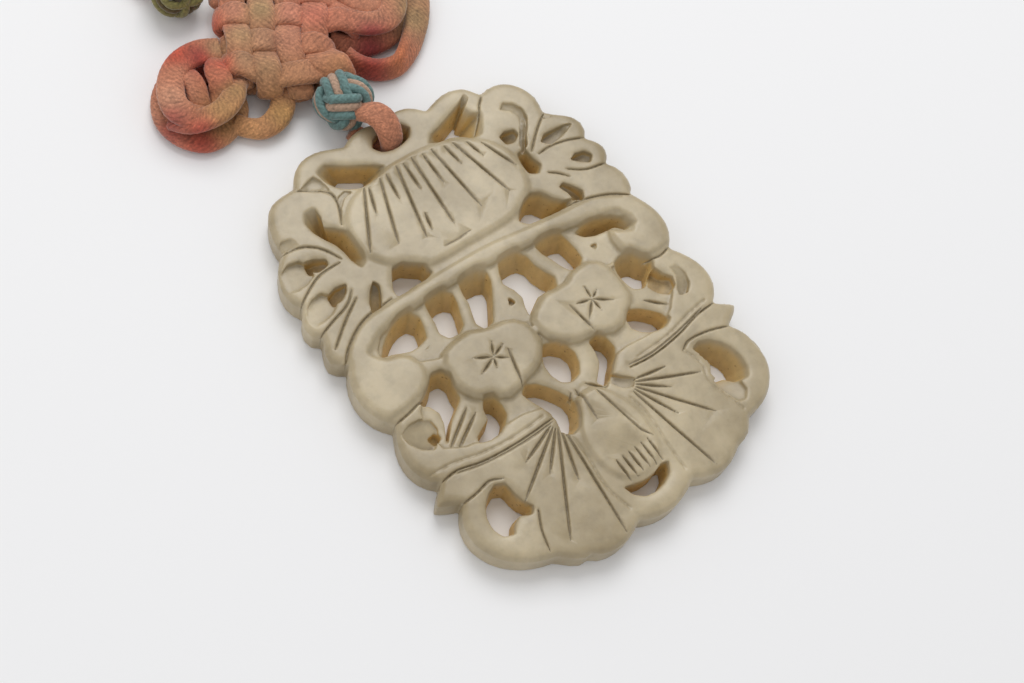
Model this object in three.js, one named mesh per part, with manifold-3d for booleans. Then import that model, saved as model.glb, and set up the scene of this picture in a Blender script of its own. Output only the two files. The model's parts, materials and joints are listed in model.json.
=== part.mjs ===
// A pierced jade pendant plaque on its knotted silk cord, lying on its back.
// Millimetres, +Z up. The front of the carving faces +Z and the cord leaves it towards +Y.
import * as THREE from 'three';
import { mergeVertices } from 'three/addons/utils/BufferGeometryUtils.js';
import Module from 'manifold-3d';

const wasm = await Module();
wasm.setup();

// ---------------------------------------------------------------------------
// Driving dimensions
// ---------------------------------------------------------------------------
const FRONT = 5.0; // height of the dome, the bar, the curls and the fruits
const BORDER = 4.5; // height of the cloud border and the fan leaves
const BUD = 4.9; // height of the bud between the two fans
const STRAND = 3.8; // height of the stems and of the strands between the openings
const SHALLOW = 3.9; // floor of the shallow steps between overlapping leaves
const EDGE_ROUND = 0.5; // rounding along the plaque's rim
const FORM_ROUND = 0.55; // rounding along the raised forms
const CUT = 0.65; // width of an engraved line
const CUT_DEPTH = 0.5; // depth of an engraved line
const STEP = 1.7; // longest straight step along a carved edge
const CLEAR = 1; // how far a cutter runs past the face that it cuts

const GROOVE_WIDTH = 3.8; // the cord's groove across the back, from the hole to the rim
const GROOVE_DEPTH = 2.65;

const BRAID = 2.2; // thickness of the braid that runs through the hole
const EAR_BRAID = 3.0; // thickness of the braid in the loose ears and the hanging loop
const BRAID_SIDES = 8;
const TOUCH = 0.35; // clearance between cord pieces that touch
const BUTTON = { x: -1.0, y: 40.1, z: 4.4, radius: 4.3, squash: 0.95 };
const OLIVE = { x: -10.6, y: 68.6, z: 4.1, radius: 4.0, squash: 0.95 };
const LEFT_ROSETTE = { x: -17.0, y: 52.8, radius: 6.3, height: 6.2 };
const RIGHT_ROSETTE = { x: 12.1, y: 52.6, radius: 5.7, height: 6.2 };
const WEAVE = { x: -3.1, y: 55.2, z: 3.2, width: 19, length: 18, height: 6, columns: 5, rows: 4, dip: 1.0 };
const WEAVE_TURN = THREE.MathUtils.degToRad(-27.5); // the woven knot lies turned against the plaque

// The drawing's zero lies between the two fruits; the part's origin is under the plaque's middle.
const CENTRE = { x: 0.6, y: 0.83 };

// ---------------------------------------------------------------------------
// Outlines
// ---------------------------------------------------------------------------
function vectors(points) {
  return points.map(([x, y]) => new THREE.Vector3(x, y, 0));
}

function sampled(curve, step) {
  const count = Math.max(2, Math.ceil(curve.getLength() / step));
  return curve.getSpacedPoints(count).map((p) => new THREE.Vector2(p.x, p.y));
}

// A smooth closed outline through a few points.
function rounded(points, step = STEP) {
  const curve = new THREE.CatmullRomCurve3(vectors(points), true, 'centripetal');
  return sampled(curve, step).slice(0, -1);
}

// Lobe after lobe: each row starts at a notch and runs over its crest to the next row's notch.
function lobed(rows, step = STEP) {
  const outline = [];
  rows.forEach((row, i) => {
    const next = rows[(i + 1) % rows.length][0];
    const curve = new THREE.CatmullRomCurve3(vectors([...row, next]), false, 'centripetal');
    outline.push(...sampled(curve, step).slice(0, -1));
  });
  return outline;
}

// A band of changing width along a smooth line, closed by pointed or blunt ends.
function band(points, widths, step = STEP) {
  const curve = new THREE.CatmullRomCurve3(vectors(points), false, 'centripetal');
  const count = Math.max(3, Math.ceil(curve.getLength() / step));
  const left = [];
  const right = [];
  for (let i = 0; i <= count; i += 1) {
    const t = i / count;
    const place = t * (widths.length - 1);
    const k = Math.min(Math.floor(place), widths.length - 2);
    const half = THREE.MathUtils.lerp(widths[k], widths[k + 1], place - k) / 2;
    const p = curve.getPointAt(t);
    const along = curve.getTangentAt(t);
    left.push(new THREE.Vector2(p.x - along.y * half, p.y + along.x * half));
    right.unshift(new THREE.Vector2(p.x + along.y * half, p.y - along.x * half));
  }
  return [...left, ...right].filter((p, i, all) => p.distanceTo(all[(i + 1) % all.length]) > 0.05);
}

// ---------------------------------------------------------------------------
// Solids
// ---------------------------------------------------------------------------
function solid(geometry) {
  geometry.deleteAttribute('normal');
  geometry.deleteAttribute('uv');
  const merged = mergeVertices(geometry, 1e-4);
  return new wasm.Manifold(new wasm.Mesh({
    numProp: 3,
    vertProperties: new Float32Array(merged.attributes.position.array),
    triVerts: new Uint32Array(merged.index.array),
  }));
}

function geometryOf(body) {
  const mesh = body.getMesh();
  const geometry = new THREE.BufferGeometry();
  geometry.setAttribute('position', new THREE.BufferAttribute(mesh.vertProperties, 3));
  geometry.setIndex(new THREE.BufferAttribute(mesh.triVerts, 1));
  return geometry;
}

// A straight-walled prism between two heights.
function prism(outline, low, high) {
  const geometry = new THREE.ExtrudeGeometry(new THREE.Shape(outline), {
    depth: high - low,
    bevelEnabled: false,
  });
  return solid(geometry.translate(0, 0, low));
}

// A form whose front edge is rounded off; its foot is buried in the body that it stands on.
function form(outline, low, high, round = FORM_ROUND, segments = 1) {
  const geometry = new THREE.ExtrudeGeometry(new THREE.Shape(outline), {
    depth: high - low - 2 * round,
    bevelThickness: round,
    bevelSize: round,
    bevelOffset: -round,
    bevelSegments: segments,
  });
  return solid(geometry.translate(0, 0, low + round));
}

// A straight cut made by the rim of a small wheel: widest and deepest halfway. The cutter is a long
// spindle whose middle lies a little above the face, so it is bigger each way than the cut it leaves.
const SPINDLE = { length: 0.56, width: 0.62, depth: 1.25, lift: 0.2 };

function wheelCut([x0, y0], [x1, y1], top, width = CUT, depth = CUT_DEPTH) {
  const length = Math.hypot(x1 - x0, y1 - y0);
  const geometry = new THREE.OctahedronGeometry(1);
  geometry.scale(length * SPINDLE.length, width * SPINDLE.width, depth * SPINDLE.depth);
  geometry.rotateZ(Math.atan2(y1 - y0, x1 - x0));
  return solid(geometry.translate((x0 + x1) / 2, (y0 + y1) / 2, top + depth * SPINDLE.lift));
}

// A curved V-shaped line sunk into a face.
function vLine(points, top, width = CUT, depth = CUT_DEPTH, step = 1.8) {
  const curve = new THREE.CatmullRomCurve3(points.map(([x, y]) => new THREE.Vector3(x, y, top)));
  const section = new THREE.Shape([
    new THREE.Vector2(depth, 0),
    new THREE.Vector2(-CLEAR, width),
    new THREE.Vector2(-CLEAR, -width),
  ]);
  const geometry = new THREE.ExtrudeGeometry(section, {
    extrudePath: curve,
    steps: Math.max(2, Math.ceil(curve.getLength() / step)),
    bevelEnabled: false,
  });
  return solid(geometry);
}

// An opening sawn from the front. Its walls lean in evenly towards the back.
function through({ edge, back, to }) {
  const outline = rounded(edge);
  const middle = new THREE.Box2().setFromPoints(outline).getCenter(new THREE.Vector2());
  const [centreX, centreY] = to ?? [middle.x, middle.y];
  const depth = FRONT + 2 * CLEAR;
  const geometry = new THREE.ExtrudeGeometry(new THREE.Shape(outline), { depth, bevelEnabled: false });
  geometry.translate(0, 0, -CLEAR);
  const position = geometry.attributes.position;
  for (let i = 0; i < position.count; i += 1) {
    const scale = THREE.MathUtils.lerp(back, 1, position.getZ(i) / STRAND);
    const x = centreX + (position.getX(i) - centreX) * scale;
    const y = centreY + (position.getY(i) - centreY) * scale;
    position.setXY(i, x, y);
  }
  return solid(geometry);
}

// A hollow with upright walls, whose floor falls evenly between two places.
function hollow({ edge, from, to }) {
  const geometry = new THREE.ExtrudeGeometry(new THREE.Shape(rounded(edge)), { depth: 1, bevelEnabled: false });
  const [x0, y0, high] = from;
  const [x1, y1, low] = to;
  const fall = new THREE.Vector2(x1 - x0, y1 - y0);
  const position = geometry.attributes.position;
  for (let i = 0; i < position.count; i += 1) {
    const share = new THREE.Vector2(position.getX(i) - x0, position.getY(i) - y0).dot(fall) / fall.lengthSq();
    const isFloor = position.getZ(i) < 0.5;
    position.setZ(i, isFloor ? THREE.MathUtils.lerp(high, low, share) : FRONT + CLEAR);
  }
  return solid(geometry);
}

function sunk(outline, floor) {
  return prism(outline, floor, FRONT + CLEAR);
}

function united(bodies) {
  return bodies.reduce((whole, body) => whole.add(body));
}

// ---------------------------------------------------------------------------
// The plaque's rim: cloud lobes down both sides, two spikes, and the fan leaves below
// ---------------------------------------------------------------------------
const RIM = [
  [[-5.2, 34.0], [-3.6, 34.9], [-1.0, 35.3], [1.6, 34.8], [5.0, 35.1], [6.9, 34.4]],
  [[8.3, 32.8], [10.6, 33.6], [12.8, 33.9], [15.4, 33.1]],
  [[16.8, 30.9], [18.9, 31.3], [21.1, 30.7], [22.9, 28.7], [23.6, 26.1]],
  [[23.0, 23.8], [24.4, 22.4], [26.0, 21.2], [26.8, 19.4], [26.4, 17.8]],
  [[25.5, 16.9], [26.5, 15.9], [27.1, 14.3], [26.6, 12.9]],
  [[25.5, 11.9], [26.5, 10.7], [26.8, 9.0], [26.4, 7.0]],
  [[25.2, 5.9], [26.0, 4.2], [26.7, 1.8], [26.6, -0.6], [25.8, -2.4]],
  [[24.5, -3.8], [25.7, -5.5], [26.8, -8.2], [26.8, -10.6], [25.8, -12.7]],
  [[24.2, -14.0], [26.0, -15.2]],
  [[26.9, -15.9], [25.8, -16.9]],
  [[23.8, -17.9], [25.0, -19.5], [25.4, -22.1], [25.0, -25.2], [23.2, -27.7], [20.6, -29.3]],
  [[17.4, -29.8], [16.5, -30.8], [15.3, -31.8]],
  [[13.3, -32.2], [11.8, -33.0], [10.2, -33.6], [8.4, -33.6], [6.4, -33.0]],
  [[4.9, -32.2], [3.0, -33.1], [0.3, -33.8], [-2.6, -33.5]],
  [[-4.9, -32.5], [-6.9, -33.5], [-9.4, -33.8], [-11.4, -33.4]],
  [[-12.8, -32.4], [-14.2, -32.3], [-15.6, -31.2]],
  [[-16.8, -30.1], [-19.0, -29.4], [-21.5, -27.9], [-23.6, -25.6], [-24.7, -22.4], [-24.2, -19.6]],
  [[-22.8, -17.6], [-24.4, -16.9]],
  [[-25.7, -16.0], [-24.8, -15.0]],
  [[-23.4, -13.8], [-24.8, -12.2], [-25.5, -9.8], [-25.2, -7.2], [-24.4, -5.4]],
  [[-23.7, -4.1], [-25.1, -2.2], [-25.8, 0.3], [-25.6, 2.8], [-24.8, 4.9]],
  [[-23.9, 6.2], [-25.0, 6.9], [-25.7, 8.1], [-25.2, 9.7]],
  [[-24.4, 11.3], [-25.4, 12.2], [-25.7, 13.5], [-25.1, 15.1]],
  [[-24.2, 16.2], [-24.9, 17.6], [-25.1, 19.4], [-24.5, 21.4], [-23.3, 23.4]],
  [[-21.8, 24.6], [-21.8, 26.5], [-21.0, 29.1], [-19.4, 31.3], [-17.2, 32.0]],
  [[-14.9, 32.0], [-14.0, 33.5], [-12.4, 34.9], [-10.2, 35.5], [-7.8, 35.1]],
];

// ---------------------------------------------------------------------------
// Raised forms
// ---------------------------------------------------------------------------
const DOME = [
  [-13.2, 18.6], [-13.2, 21.4], [-11.8, 24.5], [-9.4, 26.4], [-6.5, 27.2], [-2.6, 27.9], [3.3, 27.9],
  [7.2, 27.2], [10.8, 25.5], [13.4, 23.0], [14.6, 20.1], [14.2, 16.5], [12.6, 13.6], [8.9, 11.9],
  [0.5, 11.7], [-7.4, 12.2], [-11.2, 15.4],
];

const BAR = {
  line: [
    [-24.4, 3.4], [-22.6, 6.3], [-18.6, 8.6], [-13.5, 9.2], [-5.8, 9.4], [2.0, 9.1], [9.0, 8.3],
    [15.4, 7.5], [20.8, 6.4], [24.3, 4.2],
  ],
  widths: [2.2, 3.4, 2.8, 2.6, 2.6, 2.9, 2.7, 2.7, 3.4, 2.2],
};

// The bar's curled ends run out to the rim, which trims them.
const CURL_LEFT = [
  [-26.4, 5.0], [-27.0, 1.0], [-26.2, -3.0], [-23.0, -3.6], [-20.0, -3.3], [-17.2, -2.6], [-15.7, -0.6],
  [-15.8, 1.6], [-17.0, 3.5], [-18.6, 4.0], [-20.0, 4.6], [-20.6, 6.6], [-23.6, 7.4],
];

const CURL_RIGHT = [
  [26.8, 5.0], [28.0, 1.6], [27.2, -2.6], [24.2, -3.6], [21.4, -3.7], [19.2, -2.7], [18.2, -1.0],
  [18.0, 1.6], [19.0, 3.3], [20.2, 2.0], [21.7, 1.6], [22.2, 3.0], [21.0, 4.8], [22.6, 6.6], [25.2, 6.4],
];

const FRUIT_LEFT = [
  [-12.6, 0.7], [-10.2, 1.3], [-7.6, 1.4], [-5.6, 0.5], [-2.8, 0.0], [-0.6, -1.2], [0.1, -3.8], [-0.6, -6.6],
  [-3.0, -8.2], [-5.8, -8.9], [-8.2, -9.6], [-10.4, -8.6], [-12.8, -7.0], [-14.1, -4.2], [-13.9, -1.4],
];

const FRUIT_RIGHT = [
  [0.4, -2.2], [2.8, -0.4], [5.2, 0.3], [7.4, -0.2], [10.4, 0.9], [13.2, 0.8], [14.9, -1.0], [15.2, -4.0],
  [14.8, -6.9], [12.9, -8.5], [10.4, -9.9], [8.4, -9.6], [6.4, -8.6], [3.7, -8.2], [1.2, -6.2], [0.2, -3.8],
];

const BUD_OUTLINE = [
  [-1.6, -14.6], [1.9, -14.4], [3.6, -16.6], [4.8, -19.4], [4.9, -23.0], [3.8, -26.8], [0.2, -28.6],
  [-3.6, -27.2], [-4.9, -24.0], [-4.9, -20.4], [-3.6, -17.4],
];

// ---------------------------------------------------------------------------
// Openings that go right through
// ---------------------------------------------------------------------------
// `edge` is an opening's outline in the carved surface. Its outline in the back is the same one drawn
// in to the share `back`, towards its middle or towards the place `to`.
const OPENINGS = [
  // top left: the long slot, the comma and the gap beside the bar
  { back: 0.45, edge: [[-10.7, 32.2], [-9.6, 32.8], [-7.8, 31.8], [-5.7, 30.5], [-3.7, 29.4],
    [-2.5, 28.2], [-4.4, 27.5], [-7.0, 27.3], [-9.0, 28.4], [-10.0, 29.4], [-10.6, 30.9]] },
  { back: 0.4, edge: [[-16.7, 26.2], [-16.2, 27.2], [-14.9, 27.8], [-14.1, 27.1], [-14.5, 25.9],
    [-15.0, 24.8], [-14.2, 23.8], [-13.0, 23.4], [-12.8, 21.2], [-13.0, 18.5], [-13.5, 17.2],
    [-14.4, 17.3], [-14.7, 19.0], [-14.9, 21.3], [-15.8, 23.0], [-16.5, 24.6]] },
  { back: 0.85, edge: [[-10.7, 14.7], [-9.5, 14.7], [-7.9, 13.6], [-6.5, 12.4], [-6.6, 11.0],
    [-9.6, 10.9], [-12.9, 10.9], [-11.8, 12.9]] },
  // top right: the forked slot, the deep end of the scroll and the gap beside the bar
  { back: 0.4, edge: [[5.5, 28.0], [6.3, 28.9], [8.3, 29.5], [10.3, 30.2], [12.6, 31.0], [14.6, 31.9],
    [14.9, 31.5], [12.9, 29.9], [12.7, 29.2], [14.6, 28.5], [13.6, 26.9], [12.0, 25.2], [10.3, 26.4],
    [9.3, 27.2], [7.4, 27.4]] },
  { back: 0.5, edge: [[15.1, 19.8], [16.4, 20.1], [16.7, 18.8], [16.6, 17.6], [17.0, 16.9],
    [16.6, 16.0], [15.0, 15.9], [14.6, 16.8], [14.8, 18.4]] },
  { back: 0.65, to: [10.5, 11.0], edge: [[8.6, 11.0], [9.6, 12.1], [11.0, 13.1], [13.4, 13.7],
    [14.3, 12.7], [15.0, 11.3], [15.8, 10.4], [17.5, 10.0], [17.5, 9.2], [14.4, 9.4], [11.0, 9.8],
    [9.0, 10.2]] },
  // under the bar: the gaps between the stems
  { back: 0.72, to: [-16.0, 3.5], edge: [[-19.7, 4.7], [-18.9, 5.6], [-17.6, 6.7], [-16.1, 7.6],
    [-14.0, 8.3], [-12.0, 8.1], [-11.6, 6.6], [-12.2, 5.0], [-13.2, 3.2], [-14.8, 3.9], [-15.7, 3.0],
    [-16.8, 4.0], [-18.4, 4.5]] },
  { back: 0.75, to: [-8.8, 2.2], edge: [[-10.0, 8.2], [-7.8, 8.4], [-5.9, 8.1], [-5.9, 6.4],
    [-6.8, 4.1], [-7.8, 2.1], [-10.5, 2.3], [-10.9, 3.4], [-10.3, 5.5]] },
  { back: 0.75, to: [-4.8, 0.8], edge: [[-4.3, 8.1], [-2.2, 8.3], [0.2, 7.9], [0.1, 6.4], [-1.4, 4.0],
    [-2.6, 2.3], [-4.0, 0.6], [-5.7, 0.8], [-5.8, 2.0], [-4.7, 5.0]] },
  { back: 0.8, to: [3.0, 0.0], edge: [[2.3, 7.7], [4.4, 7.8], [6.3, 7.2], [6.5, 4.9], [7.2, 2.8],
    [7.9, 1.4], [7.2, 0.2], [4.4, 0.6], [2.4, -0.4], [0.9, -1.4], [1.6, 0.6], [2.2, 2.0], [1.6, 3.5],
    [1.0, 4.4], [1.5, 6.2]] },
  { back: 0.75, to: [10.8, 1.2], edge: [[8.2, 7.0], [10.4, 7.2], [12.6, 6.7], [13.0, 4.8],
    [12.9, 1.5], [11.6, 0.9], [10.3, 1.2], [9.3, 3.8]] },
  { back: 0.45, edge: [[14.2, 5.5], [16.4, 5.9], [18.2, 5.6], [20.2, 4.8], [21.9, 3.4], [22.3, 2.1],
    [21.5, 1.4], [20.2, 3.1], [18.1, 3.4], [16.8, 3.6], [15.2, 4.3]] },
  // around the fruits
  { back: 0.8, edge: [[-15.6, -0.9], [-14.5, -0.9], [-13.5, -1.8], [-14.0, -4.0], [-14.1, -5.6],
    [-16.7, -7.4], [-18.6, -9.2], [-20.0, -10.6], [-18.0, -7.2], [-17.7, -5.4], [-18.6, -4.0],
    [-19.6, -3.5], [-17.4, -2.6]] },
  { back: 0.75, to: [-13.0, -11.5], edge: [[-12.5, -8.6], [-12.1, -7.6], [-10.8, -7.4], [-10.2, -8.7],
    [-10.0, -10.4], [-11.0, -11.7], [-13.4, -12.8], [-16.4, -12.0], [-14.6, -10.9], [-12.8, -10.1]] },
  { back: 0.8, edge: [[0.0, -5.6], [1.5, -6.2], [3.0, -8.2], [2.7, -10.3], [1.0, -12.2],
    [-1.1, -11.7], [-1.9, -9.0], [-1.2, -7.0]] },
  { back: 0.8, edge: [[-7.0, -9.8], [-5.6, -8.9], [-4.2, -9.8], [-1.6, -14.4], [-2.2, -16.4],
    [-4.4, -18.4], [-6.1, -16.8], [-5.2, -15.0], [-6.1, -12.0]] },
  { back: 0.8, edge: [[5.6, -8.8], [7.6, -8.7], [8.2, -11.6], [6.3, -13.3], [3.8, -15.4],
    [2.5, -14.6], [4.8, -12.3], [5.5, -11.0]] },
  { back: 0.75, edge: [[13.4, -8.0], [14.8, -8.7], [17.6, -12.2], [15.8, -13.0], [13.6, -12.4],
    [11.8, -9.9]] },
  { back: 0.6, to: [17.5, -6.0], edge: [[16.3, -1.2], [17.6, -0.8], [19.0, -0.9], [19.5, -2.3],
    [20.9, -3.3], [21.2, -4.4], [19.6, -5.5], [17.9, -6.7], [16.1, -6.0], [15.7, -4.4], [15.7, -2.4]] },
  // the eyes of the two lower scrolls, and the crescent under the bud
  { back: 0.82, edge: [[-17.9, -18.0], [-16.7, -18.4], [-16.4, -21.2], [-15.3, -23.6], [-16.6, -23.9],
    [-18.2, -22.8], [-19.4, -24.7], [-21.0, -24.2], [-21.6, -22.2], [-20.4, -19.5]] },
  { back: 0.6, to: [17.8, -22.0], edge: [[16.9, -18.0], [18.4, -17.6], [20.0, -18.4], [21.4, -20.2],
    [21.9, -22.6], [21.2, -24.9], [20.0, -25.5], [18.4, -23.5], [16.6, -23.2], [16.7, -22.2],
    [17.8, -20.8], [17.3, -19.3]] },
  { back: 0.82, edge: [[-4.0, -27.9], [-1.9, -28.5], [0.3, -28.8], [3.5, -28.0], [2.8, -29.6],
    [0.7, -30.6], [-1.8, -30.6], [-3.3, -29.5]] },
];

const CORD_HOLE = {
  back: 0.82,
  edge: [[-2.0, 31.6], [-0.6, 33.0], [2.2, 33.2], [4.2, 32.4], [4.3, 31.0], [2.0, 30.0], [-0.8, 30.2]],
};

// ---------------------------------------------------------------------------
// Hollows sunk into the front
// ---------------------------------------------------------------------------
// Each hollow's floor falls evenly from the place and height `from` to the place and height `to`.
const HOLLOWS = [
  // the dished leaves down the left side and the deep pockets in them
  { from: [-25.0, 19.5, 4.3], to: [-20.3, 20.5, 3.3], edge: [[-24.9, 19.0], [-24.2, 21.6],
    [-22.4, 22.6], [-20.6, 22.2], [-19.9, 20.8], [-20.2, 19.4], [-22.6, 18.6]] },
  { from: [-17.0, 20.0, 3.0], to: [-20.0, 20.8, 1.7], edge: [[-20.3, 21.8], [-19.6, 22.0],
    [-18.3, 21.0], [-16.9, 20.0], [-18.0, 19.6], [-20.4, 19.6]] },
  { from: [-22.4, 24.8, 3.5], to: [-19.4, 24.6, 4.4], edge: [[-22.4, 24.9], [-21.0, 26.0],
    [-19.6, 25.4], [-19.2, 24.2], [-20.6, 24.2]] },
  { from: [-25.0, 13.5, 4.4], to: [-20.2, 15.0, 3.4], edge: [[-24.6, 12.8], [-24.6, 15.0],
    [-22.4, 16.6], [-20.4, 16.6], [-20.0, 14.8], [-20.6, 13.6], [-22.6, 13.1]] },
  { from: [-17.2, 16.0, 3.0], to: [-20.2, 14.4, 1.7], edge: [[-20.4, 16.0], [-19.9, 16.3],
    [-17.9, 16.3], [-17.1, 15.8], [-19.3, 14.3], [-20.4, 13.8]] },
  { from: [-13.8, 14.2, 3.2], to: [-16.5, 11.0, 1.8], edge: [[-14.1, 14.5], [-13.4, 14.3],
    [-14.4, 12.2], [-14.8, 10.9], [-17.1, 10.7], [-16.3, 12.1]] },
  { from: [-17.0, 7.2, 4.0], to: [-16.6, 8.4, 3.0], edge: [[-17.4, 8.7], [-15.6, 7.9],
    [-17.2, 7.0]] },
  { from: [-19.7, 2.3, 3.6], to: [-18.4, 3.3, 2.4], edge: [[-19.8, 2.3], [-18.5, 3.8], [-18.1, 2.6],
    [-18.8, 2.0]] },
  { from: [-24.3, -5.6, 4.3], to: [-20.8, -9.2, 2.9], edge: [[-24.0, -5.8], [-20.8, -5.2],
    [-19.0, -6.6], [-20.0, -8.6], [-21.4, -9.8], [-23.2, -8.4]] },
  { from: [-21.6, -7.8, 2.6], to: [-20.4, -9.2, 1.8], edge: [[-21.3, -7.9], [-20.2, -7.6],
    [-19.3, -7.9], [-20.3, -9.6]] },
  // the scroll at the top right, the pocket beside it and the dished leaves below it
  { from: [18.5, 27.5, 3.9], to: [16.5, 20.0, 2.4], edge: [[17.4, 27.1], [17.8, 27.8], [18.9, 27.8],
    [20.0, 26.7], [20.5, 25.2], [19.8, 23.4], [18.4, 22.0], [17.2, 20.2], [15.8, 19.7], [16.8, 21.6],
    [18.0, 23.0], [19.2, 24.6], [18.7, 26.2]] },
  { from: [17.6, 23.0, 3.4], to: [14.8, 23.0, 1.8], edge: [[14.5, 23.5], [15.1, 24.1], [16.4, 23.7],
    [17.9, 23.1], [16.6, 22.0], [15.0, 21.5]] },
  { from: [22.4, 22.6, 3.6], to: [24.2, 23.0, 4.4], edge: [[21.9, 22.5], [23.0, 23.7], [24.3, 23.2],
    [23.4, 22.2]] },
  { from: [25.4, 19.8, 4.1], to: [19.5, 19.4, 2.6], edge: [[19.2, 19.6], [20.4, 20.5], [22.4, 20.4],
    [25.4, 19.8], [22.1, 18.8], [20.2, 18.6]] },
  { from: [24.7, 14.5, 3.6], to: [21.5, 14.8, 2.3], edge: [[21.1, 15.0], [22.2, 15.6], [24.6, 14.6],
    [23.7, 13.1], [22.4, 13.9]] },
  { from: [17.0, 12.8, 3.3], to: [18.6, 9.2, 2.0], edge: [[16.8, 12.3], [17.4, 13.0], [18.6, 11.8],
    [19.6, 9.9], [19.0, 8.9], [17.6, 9.3], [17.6, 10.7]] },
  // beside the right-hand fruit and in the scrolls below it
  { from: [20.4, -9.4, 2.9], to: [18.0, -6.0, 1.2], edge: [[18.0, -6.9], [19.0, -5.8], [20.8, -5.0],
    [20.9, -6.8], [22.1, -8.0], [20.3, -9.5], [19.2, -9.0]] },
  { from: [22.6, -6.6, 4.2], to: [20.8, -10.8, 2.9], edge: [[22.2, -6.3], [23.0, -6.0], [23.7, -7.6],
    [23.4, -9.6], [21.9, -10.9], [20.6, -10.7], [21.4, -9.2], [22.4, -8.2]] },
  { from: [17.5, -23.2, 2.6], to: [18.3, -27.8, 4.2], edge: [[16.3, -23.0], [18.4, -23.2],
    [19.5, -24.6], [19.6, -26.4], [18.6, -27.6], [17.5, -27.9], [16.9, -26.2]] },
  { from: [7.2, -17.0, 3.9], to: [4.4, -15.2, 2.9], edge: [[4.0, -15.5], [5.0, -14.3], [5.8, -15.3],
    [7.2, -16.3], [7.2, -17.4], [5.4, -17.5], [4.7, -16.5]] },
  // the pits beside the stems
  { from: [0.0, 0.4, 3.2], to: [0.4, 2.8, 2.4], edge: [[0.3, 2.8], [0.9, 2.0], [0.4, 0.8],
    [-0.4, 1.4]] },
  { from: [15.4, 1.7, 3.6], to: [15.6, 2.7, 2.9], edge: [[15.0, 2.7], [16.2, 2.6], [15.4, 1.6]] },
];

const STEPS = [
  [[-14.6, 31.2], [-12.2, 30.0], [-10.8, 28.4], [-11.2, 30.2], [-11.4, 32.0], [-13.2, 31.7]],
  [[-12.2, 24.6], [-10.4, 26.8], [-8.2, 27.3], [-10.2, 28.0], [-11.4, 26.6]],
];

// The stems, strands and stalks lie lower than what they join.
const LOW_GROUND = [
  [[-20.4, 3.0], [-19.0, 6.4], [-16.0, 8.4], [-5.0, 8.3], [4.0, 7.6], [12.0, 6.9], [21.2, 4.6], [21.6, 1.6],
    [17.0, -1.0], [8.0, -2.0], [0.0, -3.0], [-8.0, 0.0], [-15.0, 0.6], [-17.4, 3.4]],
  [[-15.0, -1.6], [-19.6, -4.0], [-20.6, -10.0], [-16.0, -12.2], [-11.0, -12.2], [-5.8, -13.2], [-4.8, -17.4],
    [3.4, -15.8], [6.4, -12.6], [15.6, -12.6], [20.4, -9.4], [20.6, -4.6], [15.0, -1.6], [0.0, -4.0]],
];

// ---------------------------------------------------------------------------
// Engraved lines
// ---------------------------------------------------------------------------
const LEAF_LINES = [
  [[-15.0, 31.4], [-13.0, 30.2], [-11.2, 28.6], [-11.4, 26.4], [-12.8, 23.6]],
  [[-22.2, 24.2], [-19.6, 23.9], [-17.4, 22.4], [-15.7, 19.4]],
  [[-24.6, 16.3], [-22.4, 17.7], [-19.6, 19.0], [-16.2, 19.1]],
  [[-24.8, 11.4], [-22.0, 12.4], [-19.0, 13.4], [-17.2, 15.0]],
  [[-24.2, 8.8], [-20.8, 11.4], [-17.4, 13.6]],
  [[-24.4, 6.2], [-22.4, 8.2], [-18.6, 10.3], [-13.4, 10.9]],
  [[16.5, 30.4], [15.2, 29.2], [14.2, 27.8], [11.8, 25.6]],
  [[22.8, 23.4], [20.9, 22.2], [18.6, 20.4], [17.0, 19.0]],
  [[25.3, 16.9], [22.6, 17.9], [20.0, 18.4], [17.6, 18.2]],
  [[25.3, 11.9], [22.0, 12.6], [19.6, 14.2]],
  [[17.0, 15.1], [18.2, 14.2], [19.4, 12.8]],
  [[25.0, 5.8], [22.4, 7.5], [18.0, 9.0], [13.0, 9.9]],
  [[-23.9, -4.2], [-21.6, -3.9], [-18.4, -3.2]],
  [[24.3, -3.8], [22.0, -4.2], [20.2, -3.4]],
  [[-23.4, -13.9], [-20.8, -13.7], [-17.3, -14.6], [-11.4, -15.1], [-5.6, -15.0]],
  [[-24.3, -12.3], [-20.6, -12.6], [-16.8, -13.6], [-11.4, -14.2], [-6.6, -14.0]],
  [[24.0, -14.1], [21.0, -14.2], [16.6, -15.1], [11.4, -15.5], [7.6, -15.1]],
  [[23.4, -13.0], [20.0, -13.4], [15.4, -14.3], [9.4, -14.5]],
  [[-23.0, -17.8], [-20.4, -17.6], [-18.2, -17.2], [-16.4, -18.0]],
  [[23.5, -18.0], [20.6, -17.0], [17.0, -16.6], [15.4, -17.4]],
  [[15.7, -17.4], [16.6, -20.2], [15.6, -22.9], [16.4, -25.6], [17.2, -28.8]],
  [[-15.2, -23.8], [-16.6, -26.4], [-17.4, -29.2]],
  [[-5.2, -18.4], [-5.3, -22.0], [-5.9, -26.4], [-5.0, -30.8]],
  [[4.9, -18.4], [5.4, -21.6], [5.0, -25.6], [4.6, -30.8]],
];

const STALK_LINES = [
  [[-19.4, -10.6], [-14.2, -7.2]], [[-18.4, -11.2], [-13.6, -8.4]], [[16.2, -8.2], [18.7, -10.6]],
  [[-1.3, -13.4], [-3.6, -16.2]], [[1.3, -13.4], [3.4, -15.6]], [[-0.4, -13.4], [-1.0, -18.6]],
];

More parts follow.
